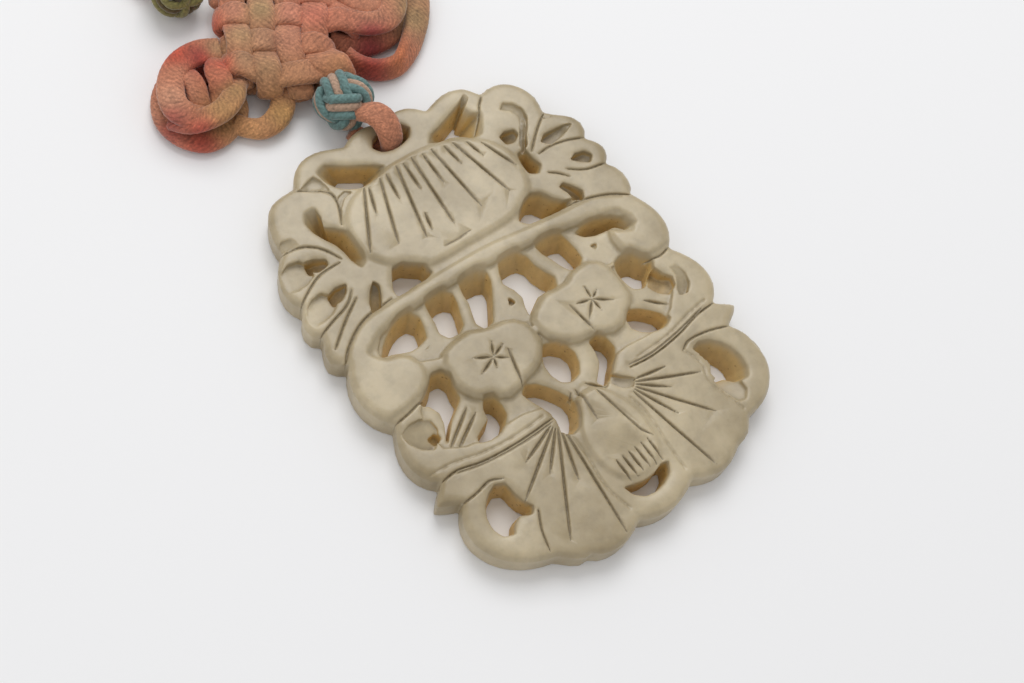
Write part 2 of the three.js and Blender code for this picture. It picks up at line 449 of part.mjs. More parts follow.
// The dome is fluted like a shell: long cuts with short ones between them, and one stray cut.
const DOME_LINES = [
  [[-6.9, 26.8], [-12.1, 17.9]], [[-6.4, 26.3], [-8.0, 22.2]], [[-4.2, 26.8], [-8.1, 16.8]],
  [[-3.1, 26.8], [-3.9, 22.4]], [[-1.1, 27.2], [-4.2, 15.5]], [[-2.1, 19.0], [-2.9, 16.1]],
  [[0.0, 27.0], [-0.4, 22.0]], [[1.5, 27.2], [0.4, 15.4]], [[3.2, 26.8], [3.0, 21.3]],
  [[4.7, 26.8], [5.3, 15.6]], [[6.6, 26.3], [7.0, 22.5]], [[8.0, 26.1], [10.2, 15.4]],
  [[9.8, 25.2], [10.5, 22.0]], [[11.6, 24.0], [13.6, 18.1]],
];

// A fan leaf's veins run out from its stalk, long and short in turn.
const VEIN = { start: 1.6, width: 0.78 };

function fanCuts([x, y], first, last, lengths) {
  return lengths.map((length, i) => {
    const angle = THREE.MathUtils.degToRad(THREE.MathUtils.lerp(first, last, i / (lengths.length - 1)));
    const from = [x + VEIN.start * Math.cos(angle), y + VEIN.start * Math.sin(angle)];
    const to = [x + length * Math.cos(angle), y + length * Math.sin(angle)];
    return wheelCut(from, to, BORDER, VEIN.width);
  });
}

// The star-shaped calyx on a fruit.
function starCuts([x, y], rays) {
  return rays.map(([angle, length]) => {
    const turn = THREE.MathUtils.degToRad(angle);
    return wheelCut([x, y], [x + length * Math.cos(turn), y + length * Math.sin(turn)], FRONT);
  });
}

// A row of short cuts across the bud's foot and one long cut beside its middle.
const BUD_ROW = { count: 6, firstX: -2.6, pitch: 1.1, top: -24.4, foot: -28.2, width: 0.55 };

function budCuts() {
  const cuts = [wheelCut([1.6, -15.2], [3.8, -24.4], BUD)];
  for (let i = 0; i < BUD_ROW.count; i += 1) {
    const x = BUD_ROW.firstX + BUD_ROW.pitch * i;
    cuts.push(wheelCut([x, BUD_ROW.top], [x, BUD_ROW.foot], BUD, BUD_ROW.width));
  }
  return cuts;
}

// ---------------------------------------------------------------------------
// The plaque
// ---------------------------------------------------------------------------
// The plaque's full outline up to a height, with its front edge rounded and its foot below the back.
function rimBody(top) {
  return form(lobed(RIM, 1.5), -EDGE_ROUND - CLEAR, top, EDGE_ROUND);
}

const FORM_FOOT = 2; // where the raised forms start inside the plaque
const CURL_ROUND = 0.7; // rounding along the curls, the fruits and the bud
const DOME_ROUND = 0.8;
const SMOOTH = 1.6; // longest straight step along the dome and the bar
const GROOVE_LINE = [[1.4, 31.8], [0.2, 33.8], [-1.9, 37.2]];

function jadePlaque() {
  let plaque = rimBody(BORDER);
  const lowered = [
    ...LOW_GROUND.map((outline) => sunk(rounded(outline, 3), STRAND)),
    ...HOLLOWS.map(hollow),
    ...STEPS.map((outline) => sunk(rounded(outline), SHALLOW)),
  ];
  plaque = plaque.subtract(united(lowered));
  const raised = [
    form(rounded(DOME, SMOOTH), FORM_FOOT, FRONT, DOME_ROUND, 2),
    form(band(BAR.line, BAR.widths, SMOOTH), FORM_FOOT, FRONT),
    ...[CURL_LEFT, CURL_RIGHT, FRUIT_LEFT, FRUIT_RIGHT].map(
      (outline) => form(rounded(outline), FORM_FOOT, FRONT, CURL_ROUND),
    ),
    form(rounded(BUD_OUTLINE), FORM_FOOT, BUD, CURL_ROUND),
  ];
  plaque = plaque.add(united(raised).intersect(rimBody(FRONT)));
  const engraved = [
    ...LEAF_LINES.map((line) => vLine(line, BORDER)),
    ...STALK_LINES.map(([from, to]) => wheelCut(from, to, STRAND)),
    ...DOME_LINES.map(([from, to]) => wheelCut(from, to, FRONT)),
    ...fanCuts([-5.3, -15.2], 200, 263, [8, 12.6, 8.3, 17, 9.3, 17.8]),
    ...fanCuts([5.5, -16.5], -11, -79, [6.7, 11.1, 6.5, 13.1, 8.4, 16.4]),
    ...starCuts([-7.3, -3.7], [[151, 2.9], [202, 3.2], [250, 1.8], [323, 2.1], [21, 2.5], [60, 2.4]]),
    ...starCuts([9.5, -4.3], [[82, 2.2], [27, 1.6], [325, 3.2], [272, 2.2], [224, 3.3], [165, 2.7]]),
    wheelCut([-4.9, -3.8], [-6.4, -9.2], FRONT),
    wheelCut([6.3, -3.3], [6.9, -8.2], FRONT),
    ...budCuts(),
  ];
  plaque = plaque.subtract(united(engraved));
  plaque = plaque.subtract(united(OPENINGS.map(through)));
  plaque = plaque.subtract(through(CORD_HOLE));
  const groove = band(GROOVE_LINE, [GROOVE_WIDTH, GROOVE_WIDTH], 6);
  plaque = plaque.subtract(prism(groove, -CLEAR, GROOVE_DEPTH));
  const below = new THREE.BoxGeometry(80, 90, 8).translate(0, 0, -4);
  return geometryOf(plaque.subtract(solid(below)));
}

// ---------------------------------------------------------------------------
// The silk cord
// ---------------------------------------------------------------------------
function tube(route, diameter, step) {
  const curve = new THREE.CatmullRomCurve3(route.map((p) => new THREE.Vector3(...p)), false, 'centripetal');
  const section = new THREE.Shape();
  for (let i = 0; i < BRAID_SIDES; i += 1) {
    const angle = (i / BRAID_SIDES) * 2 * Math.PI;
    const x = (diameter / 2) * Math.cos(angle);
    const y = (diameter / 2) * Math.sin(angle);
    if (i === 0) section.moveTo(x, y);
    else section.lineTo(x, y);
  }
  return new THREE.ExtrudeGeometry(section, {
    extrudePath: curve,
    steps: Math.ceil(curve.getLength() / step),
    bevelEnabled: false,
  });
}

// From the button knot over the rim, down through the hole and back along the groove.
const SUSPENSION_LOOP = [
  [0.2, 35.8, 6.4], [0.7, 35.0, 6.5], [1.2, 34.0, 6.4], [1.5, 32.8, 5.8], [1.5, 31.9, 4.6], [1.4, 31.5, 3.2],
  [1.2, 31.8, 1.9], [0.7, 32.9, 1.3], [-0.3, 34.4, 1.25], [-1.3, 35.7, 1.4], [-1.8, 36.3, 1.7],
];

// Out of the weave's lower edge and round to the left rosette.
const LOWER_EAR = [
  [-7.0, 46.2, 1.9], [-8.3, 44.8, 1.7], [-10.2, 43.8, 1.7], [-12.2, 43.8, 1.7], [-13.6, 44.8, 1.7],
  [-14.4, 46.0, 1.7],
];

// Out of the weave's right edge, round the right rosette and back into its far edge.
const RIGHT_EAR = [
  [4.7, 46.6, 2.2], [5.7, 44.7, 1.9], [7.6, 43.0, 1.7], [10.4, 42.4, 1.7], [13.5, 43.8, 1.7], [16.2, 46.1, 1.7],
  [18.6, 48.6, 1.7], [20.4, 51.4, 1.7], [20.9, 54.6, 1.7], [19.8, 57.8, 1.7], [17.2, 60.6, 1.7],
  [13.8, 62.8, 1.7], [10.8, 63.9, 1.8], [8.9, 63.0, 2.0], [8.1, 61.5, 2.2],
];

// The loop that the pendant hangs by, out of the olive button knot and back into it.
const HANGING_LOOP = [
  [-12.5, 73.2, 2.8], [-13.5, 75.2, 2.0], [-14.6, 78.6, 1.7], [-15.2, 83.4, 1.7], [-14.8, 88.6, 1.7],
  [-13.4, 93.4, 1.7], [-11.0, 96.8, 1.7], [-8.0, 97.8, 1.7], [-5.2, 96.2, 1.7], [-3.6, 92.6, 1.7],
  [-3.2, 87.6, 1.7], [-4.0, 82.2, 1.7], [-5.8, 77.6, 1.7], [-7.6, 75.0, 2.0], [-8.8, 73.2, 2.8],
];

function buttonKnot({ x, y, z, radius, squash }, extra = 0) {
  const rings = 6;
  const profile = [];
  for (let i = 0; i <= rings; i += 1) {
    const angle = (i / rings - 0.5) * Math.PI;
    const across = i % rings === 0 ? 0 : (radius + extra) * Math.cos(angle);
    profile.push(new THREE.Vector2(across, (radius + extra) * squash * Math.sin(angle)));
  }
  return new THREE.LatheGeometry(profile, 12).rotateX(Math.PI / 2).translate(x, y, z);
}

// A curled ear lies as a round cushion with a dimple where its coil closes.
function rosette({ x, y, radius, height }, extra = 0) {
  const low = 0.25;
  const rim = radius + extra;
  const profile = [
    [0, low], [rim - 1.6, low], [rim, low + 1.6], [rim, height - 2.2], [rim - 1.7, height], [2.6, height],
    [1.0, height - 1.2], [0, height - 1.4],
  ].map(([across, up]) => new THREE.Vector2(across, up));
  return new THREE.LatheGeometry(profile, 16).rotateX(Math.PI / 2).translate(x, y, 0);
}

// A square cushion of over and under cells, hollowed where the round knots press into it.
function wovenKnot() {
  const { x, y, z, width, length, height, columns, rows, dip } = WEAVE;
  const geometry = new THREE.BoxGeometry(width, length, height, 2 * columns, 2 * rows, 1);
  const position = geometry.attributes.position;
  for (let i = 0; i < position.count; i += 1) {
    const across = Math.round((position.getX(i) / width + 0.5) * 2 * columns);
    const along = Math.round((position.getY(i) / length + 0.5) * 2 * rows);
    const isBetween = across % 2 === 0 || along % 2 === 0;
    if (isBetween) position.setZ(i, position.getZ(i) - Math.sign(position.getZ(i)) * dip);
  }
  geometry.rotateZ(WEAVE_TURN).translate(x, y, z);
  // the left rosette fills the place of the lowest row's first cell
  const firstCell = new THREE.BoxGeometry((2 * width) / columns, (2 * length) / rows, 2 * height);
  firstCell.translate(-width / 2, -length / 2, 0).rotateZ(WEAVE_TURN).translate(x, y, z);
  const pressed = [
    solid(firstCell),
    solid(buttonKnot(BUTTON, TOUCH)),
    solid(buttonKnot(OLIVE, TOUCH)),
    solid(rosette(LEFT_ROSETTE, TOUCH)),
    solid(rosette(RIGHT_ROSETTE, TOUCH)),
  ];
  return geometryOf(solid(geometry).subtract(united(pressed)));
}

// ---------------------------------------------------------------------------
// The pendant
// ---------------------------------------------------------------------------
const jade = new THREE.MeshStandardMaterial({ color: 0xb5a888, roughness: 0.45, metalness: 0 });
const salmonSilk = new THREE.MeshStandardMaterial({ color: 0xc4826a, roughness: 0.85, metalness: 0 });
const turquoiseSilk = new THREE.MeshStandardMaterial({ color: 0x6f8c8a, roughness: 0.85, metalness: 0 });
const oliveSilk = new THREE.MeshStandardMaterial({ color: 0x8a8250, roughness: 0.85, metalness: 0 });

const pendant = new THREE.Group();
function place(name, geometry, material) {
  const mesh = new THREE.Mesh(geometry, material);
  mesh.name = name;
  pendant.add(mesh);
}

place('jade_plaque', jadePlaque(), jade);
place('suspension_loop', tube(SUSPENSION_LOOP, BRAID, 1.3), salmonSilk);
place('turquoise_button_knot', buttonKnot(BUTTON), turquoiseSilk);
place('woven_knot', wovenKnot(), salmonSilk);
place('left_rosette', rosette(LEFT_ROSETTE), salmonSilk);
place('right_rosette', rosette(RIGHT_ROSETTE), salmonSilk);
place('lower_ear', tube(LOWER_EAR, EAR_BRAID, 1.6), salmonSilk);
place('right_ear', tube(RIGHT_EAR, EAR_BRAID, 3.2), salmonSilk);
place('olive_button_knot', buttonKnot(OLIVE), oliveSilk);
place('hanging_loop', tube(HANGING_LOOP, EAR_BRAID, 4), salmonSilk);

pendant.position.set(-CENTRE.x, -CENTRE.y, 0);
export default pendant;
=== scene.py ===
"""A pierced nephrite pendant plaque on its knotted silk cord, lying on its back.

Everything is in metres in the row frame: +X across the plaque, +Y towards the cord and +Z out of the
carved front. Sizes in the classes are in millimetres, because the piece is small.
"""

from __future__ import annotations

import json
import logging
import math
from dataclasses import dataclass, field
from enum import Enum
from typing import Sequence

import bmesh
import bpy
import numpy as np
from mathutils import Matrix, Vector, noise

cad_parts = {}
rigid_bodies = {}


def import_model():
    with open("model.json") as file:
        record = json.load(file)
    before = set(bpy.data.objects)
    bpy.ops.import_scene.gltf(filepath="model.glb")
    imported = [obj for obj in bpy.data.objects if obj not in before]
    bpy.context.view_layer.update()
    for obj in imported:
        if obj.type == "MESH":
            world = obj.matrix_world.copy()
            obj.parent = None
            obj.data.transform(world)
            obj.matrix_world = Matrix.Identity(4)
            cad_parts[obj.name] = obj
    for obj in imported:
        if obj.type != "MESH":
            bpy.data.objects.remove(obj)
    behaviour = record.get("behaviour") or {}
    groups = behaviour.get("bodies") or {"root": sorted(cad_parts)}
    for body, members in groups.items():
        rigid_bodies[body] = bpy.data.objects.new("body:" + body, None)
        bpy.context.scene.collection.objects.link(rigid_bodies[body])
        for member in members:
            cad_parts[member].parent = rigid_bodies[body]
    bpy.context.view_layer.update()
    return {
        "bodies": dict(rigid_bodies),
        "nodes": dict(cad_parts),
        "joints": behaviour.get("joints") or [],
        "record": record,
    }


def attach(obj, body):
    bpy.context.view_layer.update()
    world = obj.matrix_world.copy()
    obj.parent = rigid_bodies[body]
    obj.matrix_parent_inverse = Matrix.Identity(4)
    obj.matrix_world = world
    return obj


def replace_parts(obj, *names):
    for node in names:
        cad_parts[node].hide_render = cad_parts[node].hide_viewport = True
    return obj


LOG = logging.getLogger("pendant")
MM = 0.001
CENTRE = np.array([0.6, 0.83, 0.0])  # the drawing's point under which the row frame's origin lies, in mm

Route = Sequence[tuple[float, float, float]]
Spots = tuple[tuple[float, float], ...]
Colour = tuple[float, float, float]


class Slot(Enum):
    """The record's material slots."""

    JADE = "jade"
    SALMON = "salmon_silk"
    TURQUOISE = "turquoise_silk"
    OLIVE = "olive_silk"


# ---------------------------------------------------------------------------
# Small helpers
# ---------------------------------------------------------------------------
def linear(code: str) -> Colour:
    """Turns an sRGB hex colour into linear light.

    Args:
        code: six hex digits, with or without a leading #.

    Returns:
        Red, green and blue, each from 0 to 1.
    """
    digits = code.lstrip("#")
    shares = [int(digits[i : i + 2], 16) / 255 for i in (0, 2, 4)]
    return tuple(c / 12.92 if c <= 0.04045 else ((c + 0.055) / 1.055) ** 2.4 for c in shares)


def placed(points: Route) -> np.ndarray:
    """Takes drawing points in millimetres to the row frame in metres."""
    return (np.asarray(points, dtype=float) - CENTRE) * MM


def smooth_path(points: np.ndarray, spacing: float, closed: bool = False) -> np.ndarray:
    """Lays a centripetal Catmull-Rom line through points and walks along it in even steps.

    Args:
        points: the route's points, one row each.
        spacing: the length of a step.
        closed: whether the line runs back into its first point.

    Returns:
        The walked points. A closed line's last point is its first.
    """
    if closed:
        knots = np.vstack([points[-1], points, points[0], points[1]])
    else:
        knots = np.vstack([2 * points[0] - points[1], points, 2 * points[-1] - points[-2]])
    share = np.linspace(0, 1, 24, endpoint=False)[:, None]
    line = []
    for p0, p1, p2, p3 in zip(knots, knots[1:], knots[2:], knots[3:]):
        t1 = math.sqrt(np.linalg.norm(p1 - p0))
        t2 = t1 + math.sqrt(np.linalg.norm(p2 - p1))
        t3 = t2 + math.sqrt(np.linalg.norm(p3 - p2))
        t = t1 + share * (t2 - t1)
        a1 = p0 + (p1 - p0) * t / t1
        a2 = p1 + (p2 - p1) * (t - t1) / (t2 - t1)
        a3 = p2 + (p3 - p2) * (t - t2) / (t3 - t2)
        b1 = a1 + (a2 - a1) * t / t2
        b2 = a2 + (a3 - a2) * (t - t1) / (t3 - t1)
        line.append(b1 + (b2 - b1) * (t - t1) / (t2 - t1))
    line.append(knots[-2][None, :])
    dense = np.vstack(line)
    run = np.concatenate([[0], np.cumsum(np.linalg.norm(np.diff(dense, axis=0), axis=1))])
    count = max(4, int(math.ceil(run[-1] / spacing)))
    walk = np.linspace(0, run[-1], count + 1)
    return np.stack([np.interp(walk, run, dense[:, k]) for k in range(3)], axis=1)


def length_of(line: np.ndarray) -> float:
    """The length of a line of points."""
    return float(np.linalg.norm(np.diff(line, axis=0), axis=1).sum())


def unit(rows: np.ndarray) -> np.ndarray:
    """Each row scaled to length one."""
    return rows / np.maximum(np.linalg.norm(rows, axis=1, keepdims=True), 1e-12)


def new_object(name: str, mesh: bpy.types.Mesh, material: bpy.types.Material) -> bpy.types.Object:
    """Puts a finished mesh into the scene as a piece that rides on the root body.

    Args:
        name: the piece's name.
        mesh: its mesh, in the row frame.
        material: the material that it wears.

    Returns:
        The new object.
    """
    obj = bpy.data.objects.new(name, mesh)
    bpy.context.scene.collection.objects.link(obj)
    mesh.materials.clear()
    mesh.materials.append(material)
    mesh.polygons.foreach_set("use_smooth", np.ones(len(mesh.polygons), dtype=bool))
    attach(obj, "root")
    LOG.info("%s: %d faces", name, len(mesh.polygons))
    return obj


def coordinates(mesh: bpy.types.Mesh) -> np.ndarray:
    """A mesh's points as an array, one row each."""
    flat = np.empty(len(mesh.vertices) * 3)
    mesh.vertices.foreach_get("co", flat)
    return flat.reshape(-1, 3)


def normals(mesh: bpy.types.Mesh) -> np.ndarray:
    """A mesh's point normals as an array, one row each."""
    flat = np.empty(len(mesh.vertices) * 3)
    mesh.vertex_normals.foreach_get("vector", flat)
    return flat.reshape(-1, 3)


def joined(name: str, meshes: Sequence[bpy.types.Mesh]) -> bpy.types.Mesh:
    """Joins several meshes into one and removes the separate ones.

    Args:
        name: the new mesh's name.
        meshes: the meshes to join.

    Returns:
        The joined mesh.
    """
    whole = bmesh.new()
    for mesh in meshes:
        whole.from_mesh(mesh)
        bpy.data.meshes.remove(mesh)
    result = bpy.data.meshes.new(name)
    whole.to_mesh(result)
    whole.free()
    return result


# ---------------------------------------------------------------------------
# Materials
# ---------------------------------------------------------------------------
class Nodes:
    """A material's node tree while it is being wired."""

    def __init__(self, name: str) -> None:
        """Makes an empty material.

        Args:
            name: the material's name.
        """
        self.material = bpy.data.materials.new(name)
        self.material.use_nodes = True
        self.tree = self.material.node_tree
        self.tree.nodes.clear()

    def add(self, kind: str, settings: dict | None = None, **links: object) -> bpy.types.Node:
        """Adds a node with its settings and its inputs.

        Args:
            kind: the node's type name, without ShaderNode.
            settings: properties of the node, or an input's name or number to set.
            **links: inputs by name, with underscores for spaces; a socket is linked, a value is set.
                An input known by its number is given as i0, i1 and so on.

        Returns:
            The node.
        """
        node = self.tree.nodes.new("ShaderNode" + kind)
        for key, value in (settings or {}).items():
            setattr(node, key, value)
        for key, value in links.items():
            by_number = key[0] == "i" and key[1:].isdigit()
            socket = node.inputs[int(key[1:]) if by_number else key.replace("_", " ")]
            if isinstance(value, bpy.types.NodeSocket):
                self.tree.links.new(value, socket)
            else:
                socket.default_value = value
        return node

    def ramp(self, factor: bpy.types.NodeSocket, stops: Sequence[tuple[float, Colour | float]]) -> bpy.types.NodeSocket:
        """Maps a number through a row of colour stops.

        Args:
            factor: the socket with the number.
            stops: places from 0 to 1, each with a colour or a grey.

        Returns:
            The mapped colour's socket.
        """
        node = self.add("ValToRGB", Fac=factor)
        elements = node.color_ramp.elements
        while len(elements) < len(stops):
            elements.new(0.5)
        for element, (place, colour) in zip(elements, stops):
            element.position = place
            rgb = colour if isinstance(colour, tuple) else (colour,) * 3
            element.color = (*rgb, 1)
        return node.outputs["Color"]

    def math(self, operation: str, a: object, b: object = 0.0, clamp: bool = False) -> bpy.types.NodeSocket:
        """One sum of two numbers or sockets, such as ADD or MULTIPLY."""
        return self.add("Math", {"operation": operation, "use_clamp": clamp}, i0=a, i1=b).outputs[0]

    def mix(self, factor: object, a: object, b: object, blend: str = "MIX") -> bpy.types.NodeSocket:
        """Mixes two colours.

        Args:
            factor: how much of b is taken, a number or a socket.
            a: the first colour, a socket or a colour.
            b: the second colour, a socket or a colour.
            blend: the way they are mixed.

        Returns:
            The mixed colour's socket.
        """
        node = self.add("Mix", {"data_type": "RGBA", "blend_type": blend})
        for socket, value in ((node.inputs[0], factor), (node.inputs[6], a), (node.inputs[7], b)):
            if isinstance(value, bpy.types.NodeSocket):
                self.tree.links.new(value, socket)
            elif isinstance(value, tuple):
                socket.default_value = (*value, 1)
            else:
                socket.default_value = value
        return node.outputs[2]

    def noise(self, where: bpy.types.NodeSocket, size_mm: float, detail: float = 3.0, rough: float = 0.5) -> bpy.types.NodeSocket:
        """A cloudy pattern whose features are size_mm across, from 0 to 1."""
        scale = 1 / (size_mm * MM)
        return self.add("TexNoise", Vector=where, Scale=scale, Detail=detail, Roughness=rough).outputs["Fac"]

    def finish(self, shader: bpy.types.Node) -> bpy.types.Material:
        """Links the shader to the material's output and returns the material."""
        self.add("OutputMaterial", Surface=shader.outputs["BSDF"])
        return self.material


@dataclass(frozen=True)
class Nephrite:
    """Pale nephrite jade: sawn and wheel-cut, then rubbed to a satin polish and worn by handling.

    It gives a soft, waxy gleam rather than a shine, lets light a little way in, and is clouded from
    grey-green to beige. The sunk grounds and sawn walls were never polished: they are ochre and dirty.
    """

    light: str = "BAAB8C"
    body: str = "A99A7C"
    deep: str = "968666"
    ochre: str = "D2B272"
    brown: str = "84663A"
    # painted shade colour, laid into the engraved lines and creases
    groove_shade: str = "6C5C3E"

    def make(self) -> bpy.types.Material:
        """Builds the material."""
        n = Nodes("nephrite_satin")
        where = n.add("TexCoord").outputs["Object"]
        clouds = n.noise(where, 9.0, 4.0, 0.55)
        grain = n.noise(where, 1.6, 5.0, 0.6)
        fine = n.noise(where, 0.35, 3.0, 0.6)
        base = n.ramp(clouds, [(0.32, linear(self.deep)), (0.5, linear(self.body)), (0.66, linear(self.light))])
        mottle = n.ramp(grain, [(0.3, 0.86), (0.5, 1.0), (0.75, 1.06)])
        stone = n.mix(0.8, base, mottle, "MULTIPLY")
        recess = n.add("Attribute", {"attribute_name": "recess"}).outputs["Fac"]
        groove_shade = n.add("Attribute", {"attribute_name": "groove_shade"}).outputs["Fac"]
        stain = n.mix(n.ramp(grain, [(0.35, 0.0), (0.7, 1.0)]), linear(self.ochre), linear(self.brown))
        ochre = n.mix(0.35, linear(self.ochre), stain)
        shade = n.math("MULTIPLY", recess, n.ramp(clouds, [(0.2, 0.75), (0.6, 1.0)]), True)
        stone = n.mix(shade, stone, ochre)
        # painted shade: the engraved lines and the creases are darkened towards the groove shade colour
        cut_shade = n.math("MULTIPLY", groove_shade, n.ramp(fine, [(0.3, 0.55), (0.7, 1.0)]), True)
        stone = n.mix(cut_shade, stone, linear(self.groove_shade))
        specks = n.ramp(n.noise(where, 0.55, 2.0, 0.5), [(0.66, 0.0), (0.72, 1.0)])
        dirt_and_crease_shade = n.math("MULTIPLY", specks, n.math("ADD", n.math("MULTIPLY", recess, 0.7), 0.05))
        stone = n.mix(dirt_and_crease_shade, stone, linear(self.brown))
        pits = n.noise(where, 0.22, 2.0, 0.6)
        wear = n.math("ADD", n.math("MULTIPLY", pits, 0.5), n.math("MULTIPLY", grain, 0.8))
        bump = n.add("Bump", Strength=0.22, Distance=0.00012, Height=wear).outputs["Normal"]
        rough = n.math("ADD", n.math("MULTIPLY", fine, 0.14), n.math("ADD", n.math("MULTIPLY", recess, 0.22), 0.3))
        shader = n.add("BsdfPrincipled", {"subsurface_method": "RANDOM_WALK"}, Base_Color=stone, Roughness=rough, Normal=bump)
        shader.inputs["IOR"].default_value = 1.61
        shader.inputs["Subsurface Weight"].default_value = 0.35
        shader.inputs["Subsurface Radius"].default_value = (1.0, 0.86, 0.6)
        shader.inputs["Subsurface Scale"].default_value = 1.1 * MM
        return n.finish(shader)


@dataclass(frozen=True)
class BraidedSilk:
    """Braided silk knotting cord, dyed in the skein and faded unevenly by light and handling.

    The floats of the yarn carry painted highlights and small painted glints, the crossings between them are darkened
    with painted shade, and the loose fibres give a dull sheen at the edges.
    """

    name: str
    thread_mm: float = 0.24
    shine: float = 0.35

    def make(self) -> bpy.types.Material:
        """Builds the material."""
        n = Nodes(self.name)
        where = n.add("TexCoord").outputs["Object"]
        dye = n.add("Attribute", {"attribute_name": "dye"}).outputs["Color"]
        relief = n.add("Attribute", {"attribute_name": "float_height"}).outputs["Fac"]
        yarn = n.noise(where, self.thread_mm * 1.5, 3.0, 0.65)
        patch = n.noise(where, 1.8, 3.0, 0.6)
        tone = n.ramp(patch, [(0.3, 0.82), (0.52, 1.0), (0.72, 1.16)])
        colour = n.mix(1.0, dye, tone, "MULTIPLY")
        # painted shade and painted highlight: the colour is darkened in the gaps between the plait's floats and
        # lightened on their tops
        depth = n.ramp(relief, [(0.0, 0.5), (0.45, 0.85), (1.0, 1.22)])
        colour = n.mix(0.85, colour, depth, "MULTIPLY")
        # painted glints: small bright points multiplied into the colour along the yarn
        glint = n.ramp(yarn, [(0.35, 0.7), (0.55, 1.0), (0.72, 1.4)])
        colour = n.mix(0.8, colour, glint, "MULTIPLY")
        thread = n.noise(where, self.thread_mm, 2.0, 0.7)
        bump = n.add("Bump", Strength=0.55, Distance=0.00016, Height=thread).outputs["Normal"]
        shader = n.add("BsdfPrincipled", Base_Color=colour, Normal=bump)
        shader.inputs["Roughness"].default_value = 0.78
        shader.inputs["Sheen Weight"].default_value = self.shine
        shader.inputs["Sheen Roughness"].default_value = 0.4
        return n.finish(shader)


@dataclass(frozen=True)
class PaleBoard:
    """The plain pale table under the piece: matt coated board."""

    tint: str = "F1F1F2"

    def make(self) -> bpy.types.Material:
        """Builds the material."""
        n = Nodes("pale_matt_board")
        shader = n.add("BsdfPrincipled", Base_Color=(*linear(self.tint), 1))
        shader.inputs["Roughness"].default_value = 0.85
        shader.inputs["Specular IOR Level"].default_value = 0.2
        return n.finish(shader)


# ---------------------------------------------------------------------------
# The braid
# ---------------------------------------------------------------------------
@dataclass(frozen=True)
class Fade:
    """A place where the dye shows one colour most."""

    x: float
    y: float
    colour: str
    weight: float = 1.0


@dataclass(frozen=True)
class Dye:
    """A cord's colours: the skein's own colour, and the places where it has faded or kept its red."""

    skein: str
    fades: tuple[Fade, ...] = ()

    def at(self, points: np.ndarray) -> np.ndarray:
        """Blends the colours at some points.

        Args:
            points: points in the row frame.

        Returns:
            One linear colour for each.
        """
        total = np.full((len(points), 1), 0.02)
        blend = total * np.array(linear(self.skein))
        for fade in self.fades:
            spot = placed([(fade.x, fade.y, 0)])[0, :2] / MM
            distance = np.linalg.norm(points[:, :2] / MM - spot, axis=1)
            weight = (fade.weight / (distance**2 + 1.2) ** 1.6)[:, None]
            total = total + weight
            blend = blend + weight * np.array(linear(fade.colour))
        return blend / total


